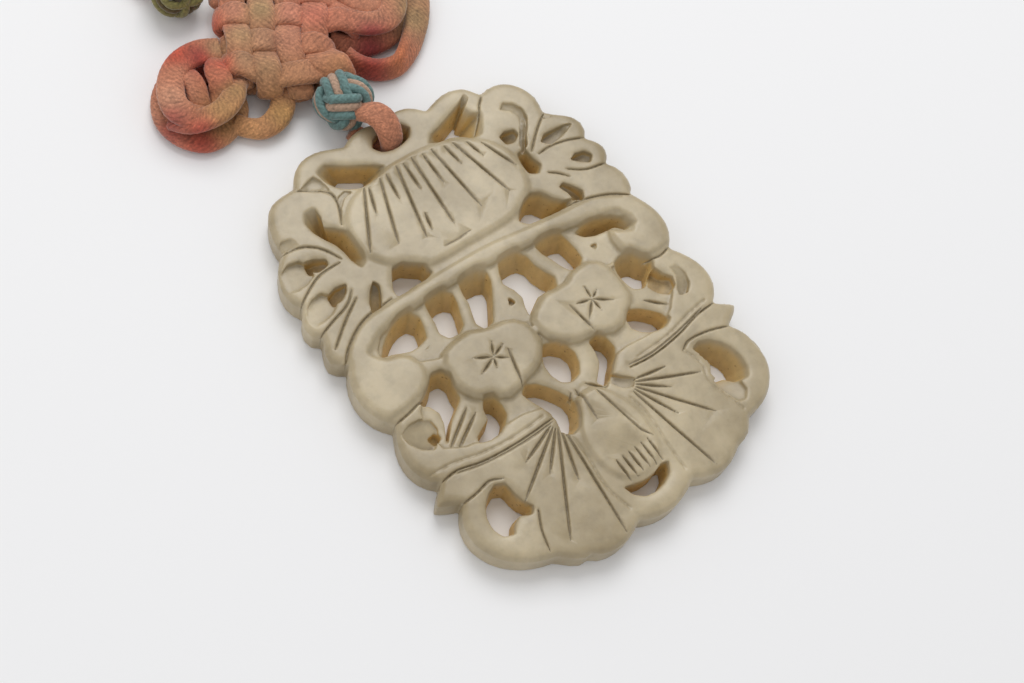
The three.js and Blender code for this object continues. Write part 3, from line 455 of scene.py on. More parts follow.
@dataclass
class Strand:
    """One length of flat braided cord swept along a route."""

    route: Route
    width: float = 3.7
    thickness: float = 1.8
    widths: Sequence[float] = (1.0,)
    rolls: Sequence[float] = (0.0,)
    side: tuple[float, float, float] | None = None
    closed: bool = False
    spacing: float = 0.26
    plait: float = 0.1
    pitch: float = 0.8
    plump: float = 0.72

    def line(self) -> np.ndarray:
        """The centreline in the row frame."""
        return smooth_path(placed(self.route), self.spacing * MM, self.closed)

    def axes(self, line: np.ndarray) -> tuple[np.ndarray, np.ndarray]:
        """Finds which way the strand's width and its thickness point along its line.

        Args:
            line: the centreline.

        Returns:
            The width's and the thickness's directions, one row for each point of the line.
        """
        if self.closed:
            ahead = unit(np.vstack([line[1:], line[1:2]]) - np.vstack([line[-2:-1], line[:-1]]))
        else:
            ahead = unit(np.gradient(line, axis=0))
        if self.side is None:
            across = unit(np.cross(ahead, np.array([0.0, 0.0, 1.0])))
        else:
            lean = np.array(self.side, dtype=float)
            across = unit(lean - ahead * (ahead @ lean)[:, None])
        face = np.cross(across, ahead)
        turn = np.radians(self.along(self.rolls, len(line)))[:, None]
        return across * np.cos(turn) + face * np.sin(turn), face * np.cos(turn) - across * np.sin(turn)

    @staticmethod
    def along(values: Sequence[float], count: int) -> np.ndarray:
        """Spreads a few values evenly along a line of count points."""
        return np.interp(np.linspace(0, 1, count), np.linspace(0, 1, max(2, len(values))), np.resize(values, max(2, len(values))))

    def mesh(self, name: str, dye: Dye) -> bpy.types.Mesh:
        """Sweeps the braid: a grid is rolled round the centreline, and the plait's floats are raised on it.

        Args:
            name: the mesh's name.
            dye: the cord's colours.

        Returns:
            The closed mesh, with its dye and float_height attributes and its UV map.
        """
        line = self.line()
        across, face = self.axes(line)
        around = max(10, int(round((self.width + self.thickness) * 1.6 / (self.spacing * 1.1))))
        grid = bmesh.new()
        bmesh.ops.create_grid(grid, x_segments=len(line) - 1, y_segments=around, size=0.5, calc_uvs=True)
        mesh = bpy.data.meshes.new(name)
        grid.to_mesh(mesh)
        grid.free()
        flat = coordinates(mesh)
        step = np.rint((flat[:, 0] + 0.5) * (len(line) - 1)).astype(int)
        angle = (flat[:, 1] + 0.5) * 2 * math.pi
        fat = self.along(self.widths, len(line))[step]
        cos, sin = np.cos(angle), np.sin(angle)
        half_w = self.width / 2 * fat
        half_t = self.thickness / 2
        wide = np.sign(cos) * np.abs(cos) ** self.plump * half_w
        thick = np.sign(sin) * np.abs(sin) ** self.plump * half_t
        run = step * (length_of(line) / MM / (len(line) - 1))
        girth = (self.width + self.thickness) * 1.6
        height = self.floats(run, angle / (2 * math.pi), girth, length_of(line) / MM)
        out = 1 + self.plait * (height - 0.5) / np.maximum(np.hypot(wide, thick), 0.4)
        place = line[step] + (across[step] * (wide * out)[:, None] + face[step] * (thick * out)[:, None]) * MM
        mesh.vertices.foreach_set("co", place.ravel())
        mesh.attributes.new("float_height", "FLOAT", "POINT").data.foreach_set("value", height)
        colour = np.hstack([dye.at(place), np.ones((len(place), 1))])
        mesh.attributes.new("dye", "FLOAT_COLOR", "POINT").data.foreach_set("color", colour.ravel())
        return self.sealed(mesh)

    def floats(self, run: np.ndarray, share: np.ndarray, girth: float, length: float) -> np.ndarray:
        """The plait: yarns cross at a slant, and each shows as a short raised float.

        Args:
            run: millimetres along the cord.
            share: the way round it, from 0 to 1.
            girth: its girth in millimetres.
            length: its length in millimetres.

        Returns:
            Heights from 0, between the floats, to 1, on top of them.
        """
        turns = max(4, round(girth / self.pitch))
        count = max(4, round(length / self.pitch))
        a = run / length * count + share * turns
        b = run / length * count - share * turns
        fa, fb = a - np.floor(a), b - np.floor(b)
        odd = (np.floor(a) + np.floor(b)) % 2 == 0
        ridge = np.where(odd, np.sin(np.pi * fa), np.sin(np.pi * fb))
        ends = np.where(odd, np.sin(np.pi * fb), np.sin(np.pi * fa))
        return np.clip(ridge, 0, 1) ** 0.7 * (0.55 + 0.45 * np.clip(ends, 0, 1) ** 0.5)

    def sealed(self, mesh: bpy.types.Mesh) -> bpy.types.Mesh:
        """Closes the seam along the strand and its ends, and turns its faces outwards."""
        body = bmesh.new()
        body.from_mesh(mesh)
        bmesh.ops.remove_doubles(body, verts=body.verts, dist=1e-7)
        rims = [edge for edge in body.edges if edge.is_boundary]
        if rims:
            bmesh.ops.holes_fill(body, edges=rims, sides=0)
        bmesh.ops.recalc_face_normals(body, faces=body.faces)
        body.to_mesh(mesh)
        body.free()
        return mesh


# ---------------------------------------------------------------------------
# The knots
# ---------------------------------------------------------------------------
SALMON = Dye(
    "BC7C5E",
    (
        Fade(-17.0, 58.5, "B84A32", 1.3),
        Fade(-14.5, 56.2, "9C3A30", 1.4),
        Fade(-12.3, 53.6, "C2523A", 0.8),
        Fade(-19.0, 55.0, "BC7A5C"),
        Fade(-21.5, 52.5, "C48C6E"),
        Fade(-23.4, 49.5, "A8584A", 0.9),
        Fade(-21.0, 45.8, "B4503E", 1.0),
        Fade(-16.5, 47.2, "AC8050", 1.6),
        Fade(-13.5, 48.8, "A07A4C", 1.2),
        Fade(-14.0, 52.0, "BA6C50"),
        Fade(-9.0, 43.8, "B0854E", 1.3),
        Fade(-14.0, 44.2, "BE8A5A"),
        Fade(-9.8, 61.0, "C85C42", 1.2),
        Fade(-10.5, 64.0, "C08E66"),
        Fade(-11.4, 56.4, "AE8862"),
        Fade(-7.8, 55.8, "B08A62", 1.1),
        Fade(-3.0, 58.2, "AA8A60", 1.3),
        Fade(-6.5, 60.2, "C48468"),
        Fade(-7.8, 49.5, "A9805A", 1.1),
        Fade(-9.8, 52.3, "AE8460"),
        Fade(-4.3, 46.6, "AE7A56"),
        Fade(-5.5, 54.0, "B08060"),
        Fade(-2.6, 52.0, "B87C60"),
        Fade(0.4, 55.8, "C88268", 1.1),
        Fade(0.8, 50.0, "B87858"),
        Fade(3.0, 53.5, "C4725A"),
        Fade(1.0, 45.0, "B98058", 1.2),
        Fade(6.0, 51.0, "BC7458"),
        Fade(8.5, 46.5, "8E3434", 1.4),
        Fade(6.0, 43.0, "A03C30", 1.3),
        Fade(11.0, 42.4, "BA6C44", 1.2),
        Fade(11.0, 50.0, "B87A5C"),
        Fade(17.0, 47.5, "A08058", 1.4),
        Fade(20.5, 53.0, "A48660", 1.4),
        Fade(5.0, 58.0, "C07A60"),
        Fade(-3.0, 65.0, "C08468"),
    ),
)


@dataclass
class WovenKnot:
    """The square woven knot: two layers of flat braid, over and under each other, turned at the edges."""

    rows: tuple[tuple[tuple[float, float], ...], ...] = (
        ((-10.3, 52.3), (-7.6, 49.3), (-4.2, 46.8), (0.6, 45.6)),
        ((-8.2, 55.8), (-5.4, 54.0), (-2.5, 51.9), (0.7, 49.7)),
        ((-6.4, 60.0), (-3.0, 57.8), (0.3, 55.9), (3.2, 53.4)),
        ((-4.4, 64.0), (-1.0, 61.9), (2.4, 59.6), (5.5, 57.2)),
    )
    last_column: tuple[tuple[float, float], ...] = ((3.9, 47.6), (3.9, 47.6), (6.3, 51.4), (8.2, 54.8))
    middle: float = 3.15
    over: float = 2.25
    under: float = 0.8
    reach: float = 2.2
    width: float = 3.75

    def strand(self, spots: Sequence[tuple[float, float]], first_over: bool, swell: Sequence[float]) -> Strand:
        """One closed strand: across the top layer, round the edge and back through the bottom layer.

        Args:
            spots: the crossings that it passes, in order.
            first_over: whether it lies on top at the first crossing.
            swell: its width's factors along its length.

        Returns:
            The strand.
        """
        points = np.array(spots)
        lead = (points[0] - points[1]) / np.linalg.norm(points[0] - points[1])
        tail = (points[-1] - points[-2]) / np.linalg.norm(points[-1] - points[-2])
        start = points[0] + lead * self.reach
        end = points[-1] + tail * self.reach
        heights = [self.over if (i % 2 == 0) == first_over else self.under for i in range(len(points))]
        top = [(x, y, self.middle + h) for (x, y), h in zip(points, heights)]
        bottom = [(x, y, self.middle - h) for (x, y), h in zip(points, heights)]
        route = [(*start, self.middle), *top, (*end, self.middle), *reversed(bottom)]
        along = points[-1] - points[0]
        side = (along[1], -along[0], 0.0)
        return Strand(route, self.width, 1.75, swell, side=side, closed=True, spacing=0.27)

    def build(self, silk: bpy.types.Material) -> list[bpy.types.Object]:
        """Builds the crosswise and the lengthwise strands as two pieces."""
        crosswise = []
        for i, row in enumerate(self.rows):
            spots = row if i < 2 else (*row, self.last_column[i])
            crosswise.append(self.strand(spots, i % 2 == 0, (1.0,)))
        lengthwise = []
        for j in range(4):
            spots = [row[j] for row in self.rows]
            swell = (1.5, 1.4, 1.0, 1.0, 1.0, 1.0, 1.4, 1.5) if j == 3 else (1.0,)
            lengthwise.append(self.strand(spots, j % 2 == 1, swell))
        pieces = []
        for name, strands in (("woven_knot_rows", crosswise), ("woven_knot_columns", lengthwise)):
            meshes = [s.mesh(f"{name}_{i}", SALMON) for i, s in enumerate(strands)]
            piece = new_object(name, joined(name, meshes), silk)
            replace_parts(piece, "woven_knot")
            pieces.append(piece)
        return pieces


@dataclass
class Rosette:
    """A curled ear: bands of braid laid round each other."""

    name: str
    node: str
    strands: tuple[Strand, ...]

    def build(self, silk: bpy.types.Material) -> bpy.types.Object:
        """Builds the rosette's bands as one piece."""
        meshes = [s.mesh(f"{self.name}_{i}", SALMON) for i, s in enumerate(self.strands)]
        piece = new_object(self.name, joined(self.name, meshes), silk)
        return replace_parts(piece, self.node)


LEFT_ROSETTE = Rosette(
    "left_rosette_bands",
    "left_rosette",
    (
        Strand([(-11.0, 56.6, 3.6), (-13.8, 57.4, 4.2), (-16.8, 57.2, 4.4), (-19.2, 55.8, 4.5), (-21.0, 53.4, 4.7),
                (-21.6, 51.0, 4.6), (-20.6, 49.2, 4.2), (-18.6, 48.6, 3.2)], 3.9, 1.8, rolls=(10, 0, -8, -6, 0)),
        Strand([(-10.8, 51.6, 2.6), (-12.6, 50.2, 4.0), (-14.0, 48.5, 4.7), (-16.4, 47.3, 4.9), (-18.8, 47.4, 4.6),
                (-21.0, 48.6, 3.6), (-22.4, 50.8, 2.8)], 3.5, 1.8, rolls=(-20, -14, -8, 0, 6)),
        Strand([(-11.6, 55.2, 3.0), (-13.4, 53.6, 4.5), (-14.0, 51.6, 4.6), (-14.8, 50.2, 3.8), (-16.4, 49.4, 2.6)],
               3.5, 1.7, rolls=(8, 4, -10, -20)),
        Strand([(-17.4, 56.4, 2.6), (-17.3, 54.6, 4.3), (-17.4, 52.8, 4.4), (-18.0, 51.0, 3.8), (-18.6, 49.4, 2.6)],
               3.0, 1.6, rolls=(0, 10, 12, 0)),
        Strand([(-12.6, 57.6, 1.5), (-17.0, 57.8, 1.3), (-21.0, 55.6, 1.2), (-22.9, 52.0, 1.2), (-22.4, 48.6, 1.2),
                (-20.0, 46.0, 1.2), (-16.8, 46.0, 1.2), (-13.6, 48.0, 1.3), (-12.6, 51.0, 1.4)], 3.2, 1.7),
        Strand([(-13.4, 55.4, 1.4), (-17.4, 55.6, 1.4), (-19.8, 53.0, 1.4), (-19.6, 49.6, 1.4), (-16.6, 48.4, 1.4),
                (-14.2, 50.6, 1.4), (-15.6, 52.6, 1.4)], 3.2, 1.9),
    ),
)

RIGHT_ROSETTE = Rosette(
    "right_rosette_bands",
    "right_rosette",
    (
        Strand([(5.2, 56.0, 3.6), (6.6, 53.4, 4.4), (7.6, 50.8, 4.8), (9.6, 48.9, 4.9), (12.2, 48.4, 4.7),
                (14.8, 49.8, 4.6), (16.0, 52.4, 4.4), (15.2, 55.0, 4.2), (12.8, 56.0, 3.4)], 3.8, 1.8),
        Strand([(8.2, 57.0, 2.8), (9.4, 55.2, 4.6), (10.2, 52.8, 4.8), (11.8, 51.6, 4.4), (13.2, 52.8, 3.6),
                (12.2, 54.4, 2.8)], 3.3, 1.7),
        Strand([(4.2, 50.9, 1.9), (6.2, 48.9, 1.7), (8.8, 47.6, 1.6), (11.8, 47.4, 1.5), (14.8, 48.6, 1.4),
                (16.4, 51.2, 1.3), (16.2, 54.4, 1.3), (13.8, 56.8, 1.3), (10.4, 57.0, 1.3), (8.2, 55.0, 1.4)],
               3.2, 1.9, rolls=(-35, -30, -10, 0, 0, 0)),
        Strand([(8.6, 53.0, 1.5), (10.4, 50.6, 1.5), (13.2, 50.8, 1.5), (14.0, 53.2, 1.5), (12.0, 54.8, 1.5),
                (10.6, 53.4, 1.5)], 3.2, 2.0),
    ),
)


@dataclass
class ButtonKnot:
    """A round button knot: one cord of three strands side by side goes three times round with four bights."""

    name: str
    node: str
    centre: tuple[float, float, float]
    axis: tuple[float, float, float]
    middle_colour: str
    edge_colour: str
    slot: Slot
    radius: float = 3.05
    rise: float = 0.6
    strand: float = 1.28
    tallest: float = 64.0
    bights: int = 4
    laps: int = 3
    turned: float = 20.0

    def line(self, offset: float) -> np.ndarray:
        """The path of one of the three strands.

        Args:
            offset: how far it lies beside the cord's middle, in millimetres.

        Returns:
            Its closed path, in drawing millimetres.
        """
        phase = np.linspace(0, 2 * math.pi * self.bights, 64 * self.bights, endpoint=False)
        latitude = math.radians(self.tallest) * np.sin(phase)
        azimuth = phase * self.laps / self.bights
        radius = self.radius - self.rise * np.sin(2 * phase)
        out = np.stack([np.cos(latitude) * np.cos(azimuth), np.cos(latitude) * np.sin(azimuth), np.sin(latitude)], axis=1)
        middle = out * radius[:, None]
        ahead = unit(np.roll(middle, -1, axis=0) - np.roll(middle, 1, axis=0))
        beside = unit(np.cross(out, ahead))
        path = middle + beside * offset
        frame = Vector(self.axis).to_track_quat("Z", "X").to_matrix() @ Matrix.Rotation(math.radians(self.turned), 3, "Z")
        return path @ np.array(frame).T + np.array(self.centre)

    def build(self, silk: bpy.types.Material) -> bpy.types.Object:
        """Builds the knot's strands and the cord's heart inside it as one piece."""
        meshes = []
        gap = self.strand * 0.93
        for offset, colour in ((-gap, self.edge_colour), (0.0, self.middle_colour), (gap, self.edge_colour)):
            route = [tuple(p) for p in self.line(offset)[::4]]
            strand = Strand(route, self.strand, self.strand, closed=True, spacing=0.3, plait=0.05, pitch=0.5, plump=1.0)
            meshes.append(strand.mesh(self.name, Dye(colour)))
        heart = Strand(
            [tuple(np.array(self.centre) + np.array(self.axis) * s) for s in (-2.4, -1.0, 1.0, 2.4)],
            3.6, 3.6, (0.6, 1.0, 1.0, 0.6), side=(0, 0, 1), spacing=0.5, plump=1.0,
        )
        meshes.append(heart.mesh(self.name, Dye(self.edge_colour)))
        piece = new_object(self.name, joined(self.name, meshes), silk)
        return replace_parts(piece, self.node)


# ---------------------------------------------------------------------------
# The free cords
# ---------------------------------------------------------------------------
@dataclass
class FreeCord:
    """A free length of the braid between two knots."""

    name: str
    node: str
    strand: Strand

    def build(self, silk: bpy.types.Material) -> bpy.types.Object:
        """Builds the cord as one piece that stands for its plain solid."""
        piece = new_object(self.name, self.strand.mesh(self.name, SALMON), silk)
        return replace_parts(piece, self.node)

    def declare(self) -> None:
        line = self.strand.line()


SUSPENSION_LOOP = FreeCord(
    "suspension_loop_braid",
    "suspension_loop",
    Strand(
        [(-0.8, 37.0, 5.4), (-0.2, 36.0, 6.2), (0.5, 35.0, 6.6), (1.0, 33.9, 6.5), (1.2, 32.7, 5.9), (1.2, 31.7, 4.7),
         (1.3, 31.3, 3.2), (1.2, 31.8, 1.9), (0.7, 32.9, 1.3), (-0.3, 34.4, 1.25), (-1.3, 35.7, 1.4), (-1.9, 36.6, 1.9)],
        3.7, 2.0, (0.7, 1.0, 1.05, 1.0, 0.8, 0.7, 0.7), side=(0.97, 0.22, 0), spacing=0.22,
    ),
)

LOWER_EAR = FreeCord(
    "lower_ear_braid",
    "lower_ear",
    Strand(
        [(-6.6, 47.4, 2.4), (-7.4, 45.7, 2.0), (-8.7, 44.4, 1.8), (-10.6, 43.6, 1.7), (-12.4, 43.7, 1.6),
         (-13.9, 44.8, 1.5), (-15.0, 46.4, 1.4)],
        3.6, 1.9, (1.0, 1.0, 1.0, 0.9, 0.8, 0.8), rolls=(-10, -5, 0, 25, 30),
    ),
)

RIGHT_EAR = FreeCord(
    "right_ear_braid",
    "right_ear",
    Strand(
        [(4.3, 47.4, 2.6), (4.9, 46.0, 2.2), (5.9, 44.5, 2.0), (7.7, 43.0, 1.9), (10.4, 42.4, 1.9), (13.4, 43.8, 1.9),
         (16.2, 46.1, 1.8), (18.6, 48.6, 1.7), (20.4, 51.4, 1.7), (20.9, 54.6, 1.7), (19.8, 57.8, 1.7),
         (17.2, 60.6, 1.7), (13.8, 62.8, 1.7), (10.8, 63.9, 1.8), (8.3, 63.0, 2.0), (7.2, 61.0, 2.4)],
        3.7, 1.9, rolls=(-75, -78, -70, -40, -12, 0, 0, 0, 0, 0, 0),
    ),
)

HANGING_LOOP = FreeCord(
    "hanging_loop_braid",
    "hanging_loop",
    Strand(
        [(-11.8, 71.2, 3.4), (-12.5, 73.2, 2.8), (-13.5, 75.2, 2.0), (-14.6, 78.6, 1.7), (-15.2, 83.4, 1.7),
         (-14.8, 88.6, 1.7), (-13.4, 93.4, 1.7), (-11.0, 96.4, 1.7), (-8.0, 97.2, 1.7), (-5.2, 95.8, 1.7),
         (-3.6, 92.6, 1.7), (-3.2, 87.6, 1.7), (-4.0, 82.2, 1.7), (-5.8, 77.6, 1.7), (-7.6, 75.0, 2.0),
         (-8.8, 73.2, 2.8), (-9.6, 71.2, 3.4)],
        3.2, 1.8, rolls=(0, 35, 55, 55, 20, 55, 55, 35, 0),
    ),
)

BUTTON = ButtonKnot("turquoise_button", "turquoise_button_knot", (-1.0, 40.1, 4.4), (0.25, -0.95, 0.1), "B5957E", "64827F", Slot.TURQUOISE)
OLIVE = ButtonKnot("olive_button", "olive_button_knot", (-10.6, 68.6, 4.1), (0.1, 0.99, -0.1), "5A4A26", "827A46", Slot.OLIVE, radius=2.85)


# ---------------------------------------------------------------------------
# The plaque
# ---------------------------------------------------------------------------
@dataclass
class HeightMap:
    """The plaque's front seen from above, as heights in millimetres on a grid."""

    low: tuple[float, float] = (-29.0, -37.0)
    high: tuple[float, float] = (29.0, 37.0)
    cell: float = 0.2
    top: np.ndarray = field(init=False)

    def __post_init__(self) -> None:
        """Starts with nothing there."""
        across = int(round((self.high[0] - self.low[0]) / self.cell))
        along = int(round((self.high[1] - self.low[1]) / self.cell))
        self.top = np.zeros((across, along))

    def cells(self, points: np.ndarray) -> tuple[np.ndarray, np.ndarray]:
        """The cells that points in millimetres fall in."""
        i = np.clip(((points[:, 0] - self.low[0]) / self.cell).astype(int), 0, self.top.shape[0] - 1)
        j = np.clip(((points[:, 1] - self.low[1]) / self.cell).astype(int), 0, self.top.shape[1] - 1)
        return i, j

    def read(self, values: np.ndarray, points: np.ndarray) -> np.ndarray:
        """Reads a grid smoothly at points in millimetres.

        Args:
            values: the grid.
            points: the points.

        Returns:
            One value for each.
        """
        u = np.clip((points[:, 0] - self.low[0]) / self.cell - 0.5, 0, values.shape[0] - 1.001)
        v = np.clip((points[:, 1] - self.low[1]) / self.cell - 0.5, 0, values.shape[1] - 1.001)
        i, j = u.astype(int), v.astype(int)
        fu, fv = u - i, v - j
        near = values[i, j] * (1 - fv) + values[i, j + 1] * fv
        far = values[i + 1, j] * (1 - fv) + values[i + 1, j + 1] * fv
        return near * (1 - fu) + far * fu

    @staticmethod
    def spread(values: np.ndarray, reach: int, pick: np.ufunc) -> np.ndarray:
        """Each cell takes the highest or lowest value within reach of it, roughly in a disc."""
        result = values
        for step in range(reach):
            moved = [np.roll(result, 1, 0), np.roll(result, -1, 0), np.roll(result, 1, 1), np.roll(result, -1, 1)]
            grown = result
            for other in moved:
                grown = pick(grown, other)
            if step % 2:
                for a in (1, -1):
                    for b in (1, -1):
                        grown = pick(grown, np.roll(np.roll(result, a, 0), b, 1))
            result = grown
        return result

    @staticmethod
    def blurred(values: np.ndarray, reach: int, times: int = 3) -> np.ndarray:
        """Averages each cell with those within reach, several times."""
        result = values
        for _ in range(times):
            for axis in (0, 1):
                total = np.cumsum(np.pad(result, [(reach + 1, reach) if k == axis else (0, 0) for k in (0, 1)], "edge"), axis)
                size = result.shape[axis]
                result = (np.take(total, range(2 * reach + 1, 2 * reach + 1 + size), axis) - np.take(total, range(size), axis)) / (2 * reach + 1)
        return result

    def fill(self, points: np.ndarray) -> None:
        """Takes the highest point in each cell, and closes the cells that no point fell in."""
        np.maximum.at(self.top, self.cells(points), points[:, 2])
        lone = (self.top == 0) & (self.spread(self.top, 1, np.minimum) == 0)
        patched = self.spread(self.top, 1, np.maximum)
        around = sum((np.roll(self.top, s, a) > 0).astype(int) for s in (1, -1) for a in (0, 1))
        self.top = np.where((self.top == 0) & lone & (around >= 3), patched, self.top)

    def outside(self) -> np.ndarray:
        """Marks the cells beyond the plaque's rim."""
        empty = self.top < 0.3
        beyond = np.zeros_like(empty)
        beyond[0, :] = beyond[-1, :] = beyond[:, 0] = beyond[:, -1] = True
        count = 0
        while beyond.sum() != count:
            count = beyond.sum()
            for _ in range(8):
                beyond = self.spread(beyond, 1, np.logical_or) & empty
        return beyond


@dataclass(frozen=True)
class Cut:
    """A run of engraved lines that a small wheel left: where each goes, how wide it is and how deep."""

    lines: tuple[Spots, ...]
    width: float = 0.4
    depth: float = 0.3


@dataclass(frozen=True)
class Engraving:
    """Every engraved line on the plaque's front."""

    cuts: tuple[Cut, ...]

    def depth(self, points: np.ndarray, full: float | None = None) -> np.ndarray:
        """How far the lines lower the front.

        Args:
            points: points in millimetres.
            full: the depth that every line is given instead of its own, or None.

        Returns:
            One depth for each point, in millimetres, or in shares of `full`.
        """
        result = np.zeros(len(points))
        front = np.flatnonzero(points[:, 2] > 2.6)
        for cut in self.cuts:
            for line in cut.lines:
                spots = np.array(line) - CENTRE[:2]
                reach = cut.width
                low, high = spots.min(axis=0) - reach, spots.max(axis=0) + reach
                flat = points[front, :2]
                near = front[((flat > low) & (flat < high)).all(axis=1)]
                away = self.distance(points[near, :2], spots, cut.width)
                bite = (cut.depth if full is None else full) * np.clip(1 - away * away, 0, 1)
                result[near] = np.maximum(result[near], bite)
        return result

    @staticmethod
    def distance(flat: np.ndarray, spots: np.ndarray, width: float) -> np.ndarray:
        """How far points are from a line, in shares of half its width, which narrows at its two ends."""
        result = np.full(len(flat), 9.0)
        steps = np.linalg.norm(np.diff(spots, axis=0), axis=1)
        length = steps.sum()
        start = 0.0
        for begin, end, step in zip(spots[:-1], spots[1:], steps):
            run = np.clip((flat - begin) @ (end - begin) / step**2, 0, 1)
            gap = np.linalg.norm(flat - (begin + run[:, None] * (end - begin)), axis=1)
            place = start + run * step
            slim = np.clip(np.minimum(0.35 + place / 1.2, 0.15 + (length - place) / 1.6), 0.15, 1)
            result = np.minimum(result, gap / (width / 2 * slim))
            start += step
        return result


def fan(stalk: tuple[float, float], first: float, last: float, lengths: Sequence[float]) -> tuple[Spots, ...]:
    """The veins of a fan leaf, which spread evenly from its stalk.

    Args:
        stalk: where the stalk meets the leaf.
        first: the first vein's direction in degrees.
        last: the last vein's.
        lengths: how far from the stalk each vein ends.

    Returns:
        One line for each vein.
    """
    centre = np.array(stalk)
    lines = []
    for angle, length in zip(np.radians(np.linspace(first, last, len(lengths))), lengths):
        way = np.array([np.cos(angle), np.sin(angle)])
        lines.append((tuple(centre + way * 1.6), tuple(centre + way * length)))
    return tuple(lines)


def star(centre: tuple[float, float], rays: Sequence[tuple[float, float]]) -> tuple[Spots, ...]:
    """The star-shaped calyx of a fruit: one line for each ray's direction in degrees and length."""
    lines = []
    for angle, length in rays:
        way = np.array([np.cos(np.radians(angle)), np.sin(np.radians(angle))])
        lines.append((tuple(np.array(centre) + way * 0.2), tuple(np.array(centre) + way * length)))
    return tuple(lines)


def bent(points: Sequence[tuple[float, float]]) -> Spots:
    """A curved line through a few points."""
    path = smooth_path(np.array([(x, y, 0.0) for x, y in points]), 0.5)
    return tuple((float(x), float(y)) for x, y, _ in path)


DOME_LINES: tuple[Spots, ...] = (
    ((-6.9, 26.8), (-12.1, 17.9)),
    ((-6.4, 26.3), (-8.0, 22.2)),
    ((-4.2, 26.8), (-8.1, 16.8)),
    ((-3.1, 26.8), (-3.9, 22.4)),
    ((-1.1, 27.2), (-4.2, 15.5)),
    ((-2.1, 19.0), (-2.9, 16.1)),
    ((0.0, 27.0), (-0.4, 22.0)),
    ((1.5, 27.2), (0.4, 15.4)),
    ((3.2, 26.8), (3.0, 21.3)),
    ((4.7, 26.8), (5.3, 15.6)),
    ((6.6, 26.3), (7.0, 22.5)),
    ((8.0, 26.1), (10.2, 15.4)),
    ((9.8, 25.2), (10.5, 22.0)),
    ((11.6, 24.0), (13.6, 18.1)),
)

LEAF_LINES: tuple[Spots, ...] = tuple(
    bent(points)
    for points in (
        ((-15.0, 31.4), (-13.0, 30.2), (-11.2, 28.6), (-11.4, 26.4), (-12.8, 23.6)),
        ((-22.2, 24.2), (-19.6, 23.9), (-17.4, 22.4), (-15.7, 19.4)),
        ((-24.6, 16.3), (-22.4, 17.7), (-19.6, 19.0), (-16.2, 19.1)),
        ((-24.8, 11.4), (-22.0, 12.4), (-19.0, 13.4), (-17.2, 15.0)),
        ((-24.2, 8.8), (-20.8, 11.4), (-17.4, 13.6)),
        ((-24.4, 6.2), (-22.4, 8.2), (-18.6, 10.3), (-13.4, 10.9)),
        ((16.5, 30.4), (15.2, 29.2), (14.2, 27.8), (11.8, 25.6)),
        ((22.8, 23.4), (20.9, 22.2), (18.6, 20.4), (17.0, 19.0)),
        ((25.3, 16.9), (22.6, 17.9), (20.0, 18.4), (17.6, 18.2)),
        ((25.3, 11.9), (22.0, 12.6), (19.6, 14.2)),
        ((17.0, 15.1), (18.2, 14.2), (19.4, 12.8)),
        ((25.0, 5.8), (22.4, 7.5), (18.0, 9.0), (13.0, 9.9)),
        ((-23.9, -4.2), (-21.6, -3.9), (-18.4, -3.2)),
        ((24.3, -3.8), (22.0, -4.2), (20.2, -3.4)),
        ((-23.0, -17.8), (-20.4, -17.6), (-18.2, -17.2), (-16.4, -18.0)),
        ((23.5, -18.0), (20.6, -17.0), (17.0, -16.6), (15.4, -17.4)),
        ((-15.2, -23.8), (-16.6, -26.4), (-17.4, -29.2)),
        ((-3.0, 13.3), (-0.6, 13.2), (1.8, 13.4)),
    )
)

RIM_LINES: tuple[Spots, ...] = tuple(
    bent(points)
    for points in (
        ((-23.4, -13.9), (-20.8, -13.7), (-17.3, -14.6), (-11.4, -15.1), (-5.6, -15.0)),
        ((-21.0, -14.0), (-17.3, -14.9), (-11.4, -15.5), (-6.0, -15.4)),
        ((24.0, -14.1), (21.0, -14.2), (16.6, -15.1), (11.4, -15.5), (7.6, -15.1)),
        ((22.0, -13.8), (16.6, -14.7), (11.4, -15.1), (7.6, -14.7)),
    )
)

STALK_LINES: tuple[Spots, ...] = (
    ((-19.4, -10.6), (-14.2, -7.2)),
    ((-18.4, -11.2), (-13.6, -8.4)),
    ((16.2, -8.2), (18.7, -10.6)),
    ((-1.3, -13.4), (-3.6, -16.2)),
    ((1.3, -13.4), (3.4, -15.6)),
    ((-0.4, -13.4), (-1.0, -18.6)),
)

BUD_LINES: tuple[Spots, ...] = (
    ((1.6, -15.2), (3.0, -23.0), (3.9, -24.6)),
    ((-4.9, -3.8), (-6.4, -9.2)),
    ((6.3, -3.3), (6.9, -8.2)),
    *tuple(((x, -24.4), (x, -28.0)) for x in (-2.6, -1.5, -0.4, 0.7, 1.8, 2.9)),
)

ENGRAVING = Engraving(
    (
        Cut(DOME_LINES, 0.46, 0.34),
        Cut(fan((-5.3, -15.2), 200, 263, (8, 12.6, 8.3, 17, 9.3, 17.8)), 0.44, 0.3),
        Cut(fan((5.5, -16.5), -11, -79, (6.7, 11.1, 6.5, 13.1, 8.4, 16.4)), 0.44, 0.3),
        Cut(star((-7.3, -3.7), ((151, 2.9), (202, 3.2), (250, 1.8), (323, 2.1), (21, 2.5), (60, 2.4))), 0.4, 0.28),
        Cut(star((9.5, -4.3), ((82, 2.2), (27, 1.6), (325, 3.2), (272, 2.2), (224, 3.3), (165, 2.7))), 0.4, 0.28),
        Cut(BUD_LINES, 0.44, 0.3),
        Cut(STALK_LINES, 0.5, 0.3),
        Cut(RIM_LINES, 0.34, 0.26),
        Cut(LEAF_LINES, 0.36, 0.2),
    )
)


